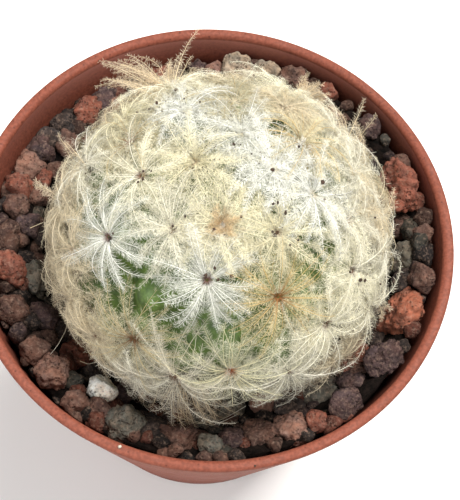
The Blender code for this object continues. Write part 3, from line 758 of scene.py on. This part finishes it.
def cut_drain_holes(pot):
    """Four round holes through the pot's floor."""
    drills = []
    for i in range(DRAIN_HOLES):
        profile = [(0, 2 * FLOOR), (DRAIN_RADIUS, 2 * FLOOR), (DRAIN_RADIUS, -FLOOR), (0, -FLOOR)]
        drill = new_object("drill", turned(profile, DRAIN_SIDES))
        drill.location = polar(DRAIN_CIRCLE, math.tau * (i + 0.5) / DRAIN_HOLES)
        boolean = pot.modifiers.new("Hole", "BOOLEAN")
        boolean.operation = "DIFFERENCE"
        boolean.object = drill
        drills.append(drill)
    bpy.context.view_layer.update()
    evaluated = pot.evaluated_get(bpy.context.evaluated_depsgraph_get())
    mesh = bpy.data.meshes.new_from_object(evaluated)
    pot.modifiers.clear()
    pot.data = mesh
    for drill in drills:
        bpy.data.objects.remove(drill, do_unlink=True)


def make_pot(material):
    pot = add_object("plastic_pot", turned(pot_profile(), POT_SIDES), material, ["pot"])
    cut_drain_holes(pot)
    pot.data.shade_smooth()
    pot.data.set_sharp_from_angle(angle=SHARP_EDGE)


# Grit

def grit_level(place):
    """Height of the bed under its top grains: hollow round the plant, heaped at the wall, with one dip."""
    from_plant = flat_gap(place, GLOBE_CENTRE)
    share = min(max((from_plant - GRIT_HOLLOW_RADIUS) / GRIT_SLOPE_WIDTH, 0.0), 1.0)
    in_dip = max(math.cos(math.atan2(place.y, place.x) - GRIT_DIP_TURN), 0.0) ** GRIT_DIP_NARROWNESS
    heap = GRIT_LEVEL_AT_WALL + GRIT_TILT.dot(place) - GRIT_DIP * in_dip
    return GRIT_LEVEL_AT_PLANT + share * (heap - GRIT_LEVEL_AT_PLANT)


def inside_wall(z):
    """Largest distance from the axis that grit may have at a height."""
    return min(inner_wall(z), RIM_RADIUS - LIP_WIDTH) - SEAT_GAP


def strewn(draw, trials, ring, sizes):
    """Trial places on a spiral, each with a drawn distance from the axis and a drawn size."""
    for i in range(trials):
        distance = draw.uniform(*ring)
        yield polar(distance, i * GOLDEN_ANGLE), draw.uniform(*sizes)


def grain_places(draw):
    """Middle, size and colour of every top grain: the ones seen, then fillers in the gaps."""
    places = []
    for x, y, size, colour in GRAINS_SEEN:
        place = Vector((0, 0, GRIT_LEVEL_AT_WALL))
        for step in range(PLACING_STEPS):
            place = seen_on_level((x, y), place.z)
            flat = place.to_2d()
            limit = inside_wall(place.z) - GRAIN_OFF_WALL * size * MM
            if flat.length > limit:
                flat *= limit / flat.length
            place = Vector((*flat, 0))
            place.z = grit_level(place) + size * MM * (0.5 - GRAIN_SINK)
        if colour == "white":
            place = seen_on_level((x, y), place.z + WHITE_GRAIN_LIFT)
        places.append((place, size * MM, colour))
    for place, size in strewn(draw, FILLER_TRIALS, FILLER_RING, FILLER_SIZES):
        if flat_gap(place, GLOBE_CENTRE) < CLEAR_OF_BODY_RADIUS + size / 3:
            continue
        if min(flat_gap(place, other[0]) for other in places) < FILLER_SPACING:
            continue
        place.z = grit_level(place) + size * (0.5 - GRAIN_SINK)
        places.append((place, size, FILLER_COLOURS[len(places) % len(FILLER_COLOURS)]))
    return places


def keep_off_wall_and_plant(point):
    """A grain's corner, moved clear of the pot's wall, the coat and the body."""
    limit = inside_wall(point.z)
    flat = Vector((point.x, point.y, 0))
    if flat.length > limit:
        flat = flat.normalized() * limit
    axis = Vector((GLOBE_CENTRE.x, GLOBE_CENTRE.y, 0))
    from_plant = flat - axis
    z = point.z
    if from_plant.length < CLEAR_OF_COAT_RADIUS:
        coat_foot = GLOBE_CENTRE.z - math.sqrt(CLEAR_OF_COAT_RADIUS ** 2 - from_plant.length_squared)
        z = min(z, max(coat_foot, GRAIN_CEILING_UNDER_PLANT))
        if from_plant.length < HANGING_SPINES_RADIUS:
            z = min(z, GRAIN_CEILING_UNDER_PLANT)
    if from_plant.length < CLEAR_OF_BODY_RADIUS:
        flat = axis + from_plant.normalized() * CLEAR_OF_BODY_RADIUS
    return Vector((flat.x, flat.y, z))


def grain_corners(middle, size, draw, keep_clear=True):
    """Corners of an angular grain, spread evenly over a squashed, turned ball."""
    tilt = Matrix.Rotation(draw.uniform(-GRAIN_TILT, GRAIN_TILT), 3, "X")
    turn = Matrix.Rotation(draw.uniform(0, math.tau), 3, "Z") @ tilt
    shape = Vector((1.0, draw.uniform(*GRAIN_BREADTHS), draw.uniform(*GRAIN_HEIGHTS))) * size / 2
    points = []
    for i in range(GRAIN_CORNERS):
        z = 1 - 2 * (i + 0.5) / GRAIN_CORNERS
        flat = math.sqrt(1 - z * z)
        spin = i * GOLDEN_ANGLE + draw.uniform(-GRAIN_CORNER_DRIFT, GRAIN_CORNER_DRIFT)
        swell = draw.uniform(*GRAIN_SWELLS)
        corner = Vector((flat * math.cos(spin) * shape.x, flat * math.sin(spin) * shape.y, z * shape.z))
        point = middle + turn @ corner * swell
        points.append(keep_off_wall_and_plant(point) if keep_clear else point)
    return points


def hull_planes(points):
    """Middle of the hull, with the outward normals and distances of its faces."""
    bm = bmesh.new()
    middle = sum(points, Vector()) / len(points)
    for point in points:
        bm.verts.new(point - middle)
    bmesh.ops.convex_hull(bm, input=bm.verts)
    normals, distances = [], []
    for face in bm.faces:
        face.normal_update()
        distance = face.normal.dot(face.verts[0].co)
        normals.append(face.normal * math.copysign(1, distance))
        distances.append(abs(distance))
    bm.free()
    return middle, np.array(normals), np.array(distances)


def fine_grain(corners, size, pitted, shift, unit_ball):
    """The grain's hull with its edges worn round, its faces rough and, on lava, pitted."""
    directions, triangles = unit_ball
    middle, normals, distances = hull_planes(corners)
    slopes = np.maximum(directions @ normals.T, 0) / np.maximum(distances, 0.05 * MM)
    radii = (slopes ** ROUNDING).sum(1) ** (-1 / ROUNDING)
    points = np.array(middle) + directions * radii[:, None] * GRAIN_FULLNESS
    for i, point in enumerate(points):
        place = Vector(point) / MM + shift
        rough = noise.fractal(place * GRAIN_DETAIL, *GRAIN_FRACTAL) * GRAIN_ROUGHNESS * size
        nearest = noise.voronoi(place / (PIT_SIZE / MM))[0][0]
        pit = max(0.0, PIT_REACH - nearest) / PIT_REACH * PIT_DEPTH * pitted
        points[i] += directions[i] * (rough - pit)
    return points, triangles


def make_filling(material):
    """The deep bed: rings of points from the middle of its crumbly top round to its foot."""
    foot = FLOOR + SEAT_GAP
    top_radius = inside_wall(GRIT_SHOULDER)

    def ring(radius, z=None):
        points = []
        for i in range(BED_SIDES):
            point = polar(radius, math.tau * i / BED_SIDES)
            crumble = noise.noise(point / BED_CRUMB) * BED_ROUGHNESS
            point.z = grit_level(point) + crumble if z is None else z
            points.append(point)
        return points

    rings = [ring(radius) for radius in np.linspace(BED_MIDDLE, top_radius, BED_RINGS)]
    rings += [ring(top_radius, GRIT_SHOULDER), ring(inside_wall(foot), foot)]
    mesh = ring_mesh(rings)
    mesh.shade_smooth()
    add_object("grit_filling", mesh, material, ["grit_bed"])


def make_grains(material):
    """The top grains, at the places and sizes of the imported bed's own; gives those back."""
    draw = random.Random(GRIT_SEED)
    tone = random.Random(GRIT_SEED)
    fine, coarse = ball(5), ball(4)
    grains = Bundle()
    places = grain_places(draw)
    for number, (middle, size, colour) in enumerate(places):
        corners = grain_corners(middle, size, draw, keep_clear=colour != "white")
        pitted = 0.0 if colour == "white" else tone.uniform(*GRAIN_PITTING)
        shift = Vector([number * step for step in GRAIN_SHIFT])
        unit_ball = fine if size > LARGE_GRAIN else coarse
        points, triangles = fine_grain(corners, size, pitted, shift, unit_ball)
        grains.add(points, triangles, np.array(STONE[colour]) * tone.uniform(*GRAIN_TONES))
    add_object("grit_grains", grains.mesh(), material, ["grit_bed"])
    return places


def make_pebbles(places, material):
    """Small grains in the dark gaps between the top ones, lower than they are, and darkened as painted
    shade.
    """
    draw = random.Random(GRIT_SEED + 1)
    unit_ball = ball(3)
    pebbles = Bundle()
    laid = []
    holes = [seen_on_level(pixel, GRIT_LEVEL_AT_WALL) for pixel in DARK_HOLES]
    for i, (place, size) in enumerate(strewn(draw, PEBBLE_TRIALS, PEBBLE_RING, PEBBLE_SIZES)):
        colour = draw.choice(FILLER_COLOURS)
        if flat_gap(place, GLOBE_CENTRE) < CLEAR_OF_BODY_RADIUS + size:
            continue
        if any(flat_gap(place, other) < PEBBLE_ROOM * room for other, room, name in places):
            continue
        if any(flat_gap(place, other) < PEBBLE_SPACING for other in laid):
            continue
        if any(flat_gap(place, hole) < HOLE_RADIUS for hole in holes):
            continue
        laid.append(place)
        place.z = grit_level(place) + draw.uniform(*PEBBLE_LIFTS) * size
        corners = grain_corners(place, size, draw)
        points, triangles = fine_grain(corners, size, 0.0, Vector((i, 0, 0)), unit_ball)
        pebbles.add(points, triangles, np.array(STONE[colour]) * draw.uniform(*PEBBLE_SHADE_TONES))
    add_object("grit_pebbles", pebbles.mesh(), material, ["grit_bed"])


# Plant body

def star_axes():
    """Outward direction of every star: its packed cushion's top has many edges of one length."""
    axes = []
    for number in range(1, STAR_COUNT + 1):
        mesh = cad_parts[f"spine_star_{number:02d}"].data
        keys = [tuple(round(x / (HUB_STEP_MM * MM)) for x in corner.co) for corner in mesh.vertices]
        neighbours = {}
        for edge in mesh.edges:
            a, b = (keys[i] for i in edge.vertices)
            if a != b:
                neighbours.setdefault(a, set()).add(b)
                neighbours.setdefault(b, set()).add(a)
        hubs = []
        for key, others in neighbours.items():
            lengths = [(Vector(key) - Vector(other)).length for other in others]
            if len(others) == HUB_EDGES and max(lengths) < HUB_EDGE_SPREAD * min(lengths):
                hubs.append(Vector(key) * HUB_STEP_MM * MM - GLOBE_CENTRE)
        axes.append(max(hubs, key=lambda hub: hub.length).normalized())
    return axes


def make_body(axes, material):
    """Green globe of cone-shaped tubercles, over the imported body's own underside."""
    directions, triangles = ball(6)
    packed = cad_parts["cactus_body"].data
    corners = [corner.co.copy() for corner in packed.vertices]
    tree = BVHTree.FromPolygons(corners, [list(face.vertices) for face in packed.polygons])
    tubercles = np.array(axes + [seen_on_globe(BARE_TUBERCLE, AREOLE_RADIUS)])
    apart = np.arccos(np.clip(directions @ tubercles.T, -1, 1)) * AREOLE_RADIUS
    bumps = np.exp(-(apart / TUBERCLE_WIDTH) ** TUBERCLE_POWER)
    rise = 1 - np.prod(1 - bumps, axis=1)
    radii = VALLEY_RADIUS + (TUBERCLE_TIP_RADIUS - VALLEY_RADIUS) * rise
    for i in np.nonzero(directions[:, 2] < FORMULA_ABOVE)[0]:
        hit = tree.ray_cast(GLOBE_CENTRE, Vector(directions[i]))
        if hit[0] is not None:
            radii[i] = hit[3]
    points = GLOBE_MIDDLE + directions * radii[:, None]
    add_object("green_globe", triangle_mesh(points, triangles), material, ["cactus_body"])


# Feather spines

def across(axis):
    """Two unit vectors at right angles to an axis and to each other."""
    side = np.array(Vector(axis).orthogonal().normalized())
    return side, np.cross(axis, side)


def spine_curves(axis, draw, count, ranges, root, reach=1.0, unrest=1.0):
    """Points of a star's curved spines, and their sideways directions.

    Each rises at one angle and bends over to another: the ranges are for both and for the length.
    """
    lifts, dips, lengths = [draw.uniform(*ends, count) for ends in ranges]
    lengths = lengths * reach
    side, other = across(axis)
    turn = (np.arange(count) + draw.uniform(-TURN_DRIFT, TURN_DRIFT, count)) * math.tau / count
    heading = np.cos(turn)[:, None] * side + np.sin(turn)[:, None] * other
    sideways = np.cross(axis, heading)
    t = np.linspace(0, 1, SPINE_STEPS)
    angle = lifts[:, None] + (dips - lifts)[:, None] * t[None, :]
    middle = (angle[:, 1:] + angle[:, :-1]) / 2
    step = lengths[:, None] / (SPINE_STEPS - 1)
    paths = [np.cumsum(share * step, 1) for share in (np.cos(middle), np.sin(middle))]
    out, up = [np.pad(path, ((0, 0), (1, 0))) for path in paths]
    out += root
    curl = draw.normal(0, CURL * unrest, (count, 1)) * t[None, :] ** 2
    curl = (curl + draw.normal(0, WAVE * unrest, (count, 1)) * np.sin(math.pi * t)) * lengths[:, None]
    curves = out[:, :, None] * heading[:, None, :] + up[:, :, None] * axis
    curves += curl[:, :, None] * sideways[:, None, :]
    return curves + GLOBE_MIDDLE + axis * AREOLE_RADIUS, sideways


def along(curves, sideways, t):
    """Points at shares t of curves, and the unit directions onward, sideways and upward there."""
    steps = curves.shape[1] - 1
    place = np.clip(t * steps, 0, steps - 1e-6)
    low = place.astype(int)
    rows = np.arange(len(curves))[:, None]
    start = curves[rows, low]
    tangents = curves[rows, low + 1] - start
    points = start + tangents * (place - low)[..., None]
    tangents /= np.maximum(np.linalg.norm(tangents, axis=-1, keepdims=True), 1e-9)
    lateral = np.broadcast_to(sideways[:, None, :], points.shape)
    return points, tangents, lateral, np.cross(tangents, lateral)


def add_shafts(bundle, curves, sideways, radius, middle, colour, brown_reach):
    """Tapered shafts, of the middle's colour at their root."""
    count, steps = curves.shape[:2]
    t = np.linspace(0, 1, steps)[None, :].repeat(count, 0)
    points, tangents, lateral, upward = along(curves, sideways, t)
    thickness = radius * (1 - SHAFT_TAPER * t)[..., None]
    ring = []
    for spin in range(SHAFT_SIDES):
        turn = math.tau * spin / SHAFT_SIDES
        ring.append(points + (upward * math.cos(turn) + lateral * math.sin(turn)) * thickness)
    fade = np.clip(t / brown_reach, 0, 1)[..., None]
    tints = np.array(middle) * (1 - fade) + np.array(colour) * fade
    tints = np.repeat(tints[:, :, None, :], SHAFT_SIDES, 2).reshape(-1, 3)
    index = np.arange(count * steps * SHAFT_SIDES).reshape(count, steps, SHAFT_SIDES)
    triangles = []
    for spin in range(SHAFT_SIDES):
        after = (spin + 1) % SHAFT_SIDES
        a, b = index[:, :-1, spin], index[:, :-1, after]
        c, d = index[:, 1:, spin], index[:, 1:, after]
        triangles += [np.stack([a, b, d], -1).reshape(-1, 3), np.stack([a, d, c], -1).reshape(-1, 3)]
    bundle.add(np.stack(ring, 2).reshape(-1, 3), np.concatenate(triangles), tints)


def from_sight_line(pixel, places):
    """Depth of places along a pixel's sight line, and their distance from it."""
    eye, direction = sight_line(pixel)
    from_eye = places - np.array(eye)
    depth = from_eye @ np.array(direction)
    return depth, np.linalg.norm(from_eye - depth[..., None] * np.array(direction), axis=-1)


def hairs_kept(places, draw):
    """Which of the hairs are left when most of those over the bare places are taken away."""
    kept = np.ones(places.shape[:-1], bool)
    for x, y, radius in BARE_PLACES:
        depth, aside = from_sight_line((x, y), places)
        before_middle = depth < from_sight_line((x, y), GLOBE_MIDDLE)[0]
        kept &= ~(before_middle & (aside < radius * depth / VIEW_FOCUS_PX))
    return kept | (draw.uniform(0, 1, kept.shape) > BARE_SHARE)


def add_hairs(bundle, roots, bends, tips, draw, colour):
    """Hairs of one triangle each, some of them dark, and with a tone for each spine that bears them."""
    kept = hairs_kept(bends, draw)
    tones = draw.uniform(*BARB_TONES, (*kept.shape, 1))
    if kept.ndim > 1:
        tones *= draw.uniform(*SPINE_TONES, (len(kept), 1, 1))
    tones[draw.uniform(0, 1, kept.shape) < DARK_SHARE] *= DARK_TONE
    corners = np.stack([roots, bends, tips], -2)[kept].reshape(-1, 3)
    tints = np.repeat((np.array(colour) * tones)[kept], 3, 0)
    bundle.add(corners, np.arange(len(corners)).reshape(-1, 3), tints)


def add_barbs(bundle, curves, sideways, draw, barbs, length, colour, roll_spread=BARB_ROLL):
    """Fine bent hairs on both sides of each shaft, most level with the coat, shorter at both ends."""
    count = len(curves)
    t = (np.arange(barbs)[None, :] + draw.uniform(0, 1, (count, barbs))) / barbs
    t = BARE_ROOT + (1 - BARE_ROOT) * t
    points, tangents, lateral, upward = along(curves, sideways, t)
    points = points - upward * BARB_DROP
    hand = np.where(np.arange(barbs) % 2 == 0, 1.0, -1.0)[None, :, None]
    roll = draw.normal(-BARB_DROOP, roll_spread, (count, barbs, 1))
    lean = draw.uniform(*BARB_LEANS, (count, barbs, 1))
    outward = lateral * hand * np.cos(roll) + upward * np.sin(roll)
    direction = tangents * np.cos(lean) + outward * np.sin(lean)
    lengths = length * draw.uniform(*BARB_SPREAD, (count, barbs)) * np.minimum(1, 0.3 + 2.0 * t)
    lengths *= np.clip(1.5 - t, 0.6, 1)
    tips = points + direction * lengths[..., None]
    bends = (points + tips) / 2 + tangents * BARB_WIDTH
    add_hairs(bundle, points, bends, tips, draw, colour)


def add_felt(bundle, axis, draw, hairs, colour):
    """Short loose hairs matted over the coat round a star's middle."""
    side, other = across(axis)
    turn = draw.uniform(0, math.tau, (hairs, 1))
    away = np.sqrt(draw.uniform(FELT_SPREAD[0] ** 2, FELT_SPREAD[1] ** 2, (hairs, 1))) / AREOLE_RADIUS
    outward = axis * np.cos(away) + (side * np.cos(turn) + other * np.sin(turn)) * np.sin(away)
    roots = GLOBE_MIDDLE + outward * (AREOLE_RADIUS + draw.uniform(*FELT_HEIGHTS, (hairs, 1)))
    lie = np.cross(outward, draw.normal(0, 1, (hairs, 3)))
    lie /= np.linalg.norm(lie, axis=1, keepdims=True)
    lie = lie + outward * draw.normal(0, FELT_RISE, (hairs, 1))
    tips = roots + lie * draw.uniform(*FELT_LENGTHS, (hairs, 1))
    bends = (roots + tips) / 2 + np.cross(lie, outward) * BARB_WIDTH
    add_hairs(bundle, roots, bends, tips, draw, colour)


def add_cushion(bundle, middle, axis, colour, unit_ball):
    """Small woolly cushion that the spines grow out of."""
    directions, triangles = unit_ball
    side, other = across(axis)
    shape = (directions[:, :1] * side + directions[:, 1:2] * other) * CUSHION_RADIUS
    shape = shape + directions[:, 2:] * axis * CUSHION_HEIGHT
    bundle.add(middle + shape, triangles, colour)


def settle(curves):
    """Keep spines from reaching down into the grit."""
    for curve in curves:
        for point in curve:
            point[2] = max(point[2], grit_level(Vector(point)) + LOWEST_OVER_GRIT)


def make_star(number, axis, material, unit_ball):
    """One star of feather spines; gives back its curves, for the dirt that lies on them."""
    draw = np.random.default_rng(STAR_SEEDS_FROM + number)
    axis = np.array(axis)
    seen = number <= len(STAR_LOOKS)
    looks = STAR_LOOKS[number - 1] if seen else OTHER_LOOKS[number % len(OTHER_LOOKS)]
    tint, hub, fullness, reach, felt = looks
    reach *= SHORT_STARS.get(number, 1.0)
    shaft, hair, brown_reach = TINTS[tint]
    middle = MIDDLES[hub]
    unrest = 1 + UNREST_OF_FELT * felt
    ranges = (LIFTS, DIPS, SPINE_LENGTHS)
    curves, sideways = spine_curves(axis, draw, SPINES, ranges, ROOT_RING, reach, unrest)
    settle(curves)
    star = Bundle()
    cushion_middle = GLOBE_MIDDLE + axis * (AREOLE_RADIUS - CUSHION_HEIGHT / 2)
    add_cushion(star, cushion_middle, axis, middle, unit_ball)
    add_shafts(star, curves, sideways, SHAFT_RADIUS, middle, shaft, brown_reach)
    add_barbs(star, curves, sideways, draw, int(BARBS * fullness), BARB_LENGTH, hair)
    add_felt(star, axis, draw, int(FELT_HAIRS * felt), hair)
    ranges = (HUB_SPIKE_LIFTS, HUB_SPIKE_DIPS, HUB_SPIKE_LENGTHS)
    spikes, sideways = spine_curves(axis, draw, HUB_SPIKES, ranges, ROOT_RING)
    add_shafts(star, spikes, sideways, THIN_SHAFT_RADIUS, middle, middle, 1.0)
    if number in TUFTS:
        ranges = (TUFT_LIFTS, TUFT_DIPS, TUFT_LENGTHS)
        tuft, sideways = spine_curves(axis, draw, TUFTS[number], ranges, TUFT_RING)
        wool = TUFT_TINT if number == GROWING_POINT else hair
        add_shafts(star, tuft, sideways, TUFT_SHAFT_RADIUS, middle, wool, TUFT_BROWN_REACH)
        add_barbs(star, tuft, sideways, draw, TUFT_HAIRS, TUFT_HAIR_LENGTH, wool)
    add_object(f"feather_star_{number:02d}", star.mesh(), material, [f"spine_star_{number:02d}"])
    return curves


def bent(start, end, bulge, draw):
    """Points of a curve from start to end that bends by a bulge, with a little wander."""
    middle = (start + end) / 2 + bulge
    points = []
    for t in np.linspace(0, 1, SPINE_STEPS):
        points.append(start * (1 - t) ** 2 + middle * 2 * t * (1 - t) + end * t ** 2)
    return np.array(points) + draw.normal(0, LOOSE_WANDER, (SPINE_STEPS, 3))


def make_loose_spines(material):
    """Long feather spines and stray hairs that stand off the coat."""
    draw = np.random.default_rng(LOOSE_SEED)
    strays = Bundle()
    shaft, hair, brown_reach = TINTS["cream"]
    curves, sideways = [], []
    for root_pixel, tip_pixel, rise in [spine[:3] for spine in LOOSE_SPINES for copy in range(spine[3])]:
        root_pixel = np.array(root_pixel) + draw.normal(0, LOOSE_ROOT_DRIFT_PX, 2)
        tip_pixel = np.array(tip_pixel) + draw.normal(0, LOOSE_TIP_DRIFT_PX, 2)
        outward = seen_on_globe(root_pixel, AREOLE_RADIUS)
        root = GLOBE_CENTRE + outward * AREOLE_RADIUS
        tip_outward = seen_on_globe(tip_pixel, AREOLE_RADIUS)
        tip = nearest_on_sight_line(tip_pixel, GLOBE_CENTRE + tip_outward * (AREOLE_RADIUS + rise * MM))
        way = tip - root
        sway = outward.cross(way) * draw.normal(0, LOOSE_SWAY)
        bulge = outward * draw.uniform(*LOOSE_BULGE) * way.length + sway
        curves.append(bent(np.array(root), np.array(tip), np.array(bulge), draw))
        sideways.append(np.array(outward.cross(way).normalized()))
    curves, sideways = np.array(curves), np.array(sideways)
    add_shafts(strays, curves, sideways, THIN_SHAFT_RADIUS, MIDDLES["faint"], LOOSE_SHAFT_TINT, brown_reach)
    add_barbs(strays, curves, sideways, draw, LOOSE_HAIRS, LOOSE_HAIR_LENGTH, LOOSE_HAIR_TINT, LOOSE_ROLL)
    threads = []
    for pixels in THREADS:
        places = [GLOBE_CENTRE + seen_on_globe(pixel, AREOLE_RADIUS) * AREOLE_RADIUS for pixel in pixels]
        places = [nearest_on_sight_line(pixel, place) for pixel, place in zip(pixels, places)]
        shares = np.linspace(0, len(places) - 1, SPINE_STEPS)
        flat = [np.interp(shares, range(len(places)), [place[k] for place in places]) for k in range(3)]
        threads.append(np.array(flat).T)
    sideways = np.array([TOWARDS_EYE] * len(threads))
    add_shafts(strays, np.array(threads), sideways, THREAD_RADIUS, THREAD_END_TINT, shaft, 1.0)
    add_object("stray_spines", strays.mesh(), material, [])


def make_dirt(curves, material):
    """Dark crumbs caught on the spines, and a few on the pot's lip."""
    draw = np.random.default_rng(DIRT_SEED)
    shafts = np.concatenate(curves)
    t = np.linspace(0, 1, CATCH_STEPS)[None, :].repeat(len(shafts), 0)
    places = along(shafts, shafts[:, 0], t)[0].reshape(-1, 3)
    directions, triangles = ball(1)
    crumbs = Bundle()

    def add_crumb(centre, size, tint):
        swells = draw.uniform(*CRUMB_SWELLS, (len(directions), 1))
        shape = directions * swells * draw.uniform(*CRUMB_SIDES, 3)
        shade = np.array(tint) * draw.uniform(*CRUMB_TONES)
        crumbs.add(np.array(centre) + shape * size / 2, triangles, shade)

    wanted = [((x, y), size * CRUMB_SCALE * MM) for x, y, size in CRUMBS]
    for (x, y), spread, count in SPECKS:
        for i in range(count):
            offset = draw.normal(0, spread, 2)
            wanted.append(((x + offset[0], y + offset[1]), draw.uniform(*SPECK_SIZES)))
    for pixel, size in wanted:
        depth, aside = from_sight_line(pixel, places)
        near = np.nonzero(aside < CRUMB_CATCH)[0]
        if len(near):
            foremost = places[near[depth[near].argmin()]]
            add_crumb(foremost + np.array(TOWARDS_EYE) * size * CRUMB_LIFT, size, CRUMB_TINT)
    for x, y, size, pale in LIP_CRUMBS:
        centre = seen_on_level((x, y), POT_HEIGHT)
        if RIM_RADIUS - LIP_WIDTH < centre.to_2d().length < RIM_RADIUS:
            centre.z += size * MM * LIP_CRUMB_LIFT
            add_crumb(centre, size * MM, PALE_TINT if pale else CRUMB_TINT)
    add_object("dirt_crumbs", crumbs.mesh(), material, [])


# Stage

def make_floor(material):
    bm = bmesh.new()
    bmesh.ops.create_grid(bm, x_segments=8, y_segments=8, size=FLOOR_REACH)
    mesh = bpy.data.meshes.new("floor")
    bm.to_mesh(mesh)
    bm.free()
    mesh.materials.append(material)
    floor = new_object("floor", mesh)


def make_lights():
    """An even bright room, and soft square lights that face the plant."""
    world = bpy.data.worlds.new("studio")
    bpy.context.scene.world = world
    world.use_nodes = True
    background = world.node_tree.nodes["Background"]
    background.inputs["Color"].default_value = (1.0, 1.0, 1.0, 1.0)
    background.inputs["Strength"].default_value = ROOM_LIGHT
    for name, way, distance, size, power, colour in LAMPS:
        light = bpy.data.lights.new(name, "AREA")
        light.size = size
        light.energy = power
        light.color = colour
        lamp = new_object(name, light)
        way = Vector(way).normalized()
        lamp.location = GLOBE_CENTRE + way * distance
        lamp.rotation_euler = way.to_track_quat("Z", "Y").to_euler()


def make_camera():
    camera_right = VIEW_RIGHT * math.cos(VIEW_ROLL) + VIEW_UP * math.sin(VIEW_ROLL)
    camera_up = VIEW_UP * math.cos(VIEW_ROLL) - VIEW_RIGHT * math.sin(VIEW_ROLL)
    camera = bpy.data.cameras.new("camera")
    camera.sensor_width = SENSOR_MM
    camera.lens = SENSOR_MM * VIEW_FOCUS_PX / VIEW_LONG_SIDE_PX
    camera.clip_start, camera.clip_end = VIEW_CLIP
    holder = new_object("camera", camera)
    turn = Matrix((camera_right, camera_up, TOWARDS_EYE)).transposed()
    holder.matrix_world = Matrix.Translation(VIEW_AIM + TOWARDS_EYE * VIEW_DISTANCE) @ turn.to_4x4()
    bpy.context.scene.camera = holder


def main():
    make_camera()
    make_lights()
    make_floor(floor_material())
    make_pot(plastic_material())
    stone = stone_material()
    make_filling(bed_material())
    make_pebbles(make_grains(stone), stone)
    axes = star_axes()
    make_body(axes, flesh_material())
    hair = feather_material()
    cushion_ball = ball(2)
    curves = [make_star(number + 1, axis, hair, cushion_ball) for number, axis in enumerate(axes)]
    make_loose_spines(hair)
    make_dirt(curves, dirt_material())
    bpy.context.scene.view_settings.view_transform = "Standard"


main()
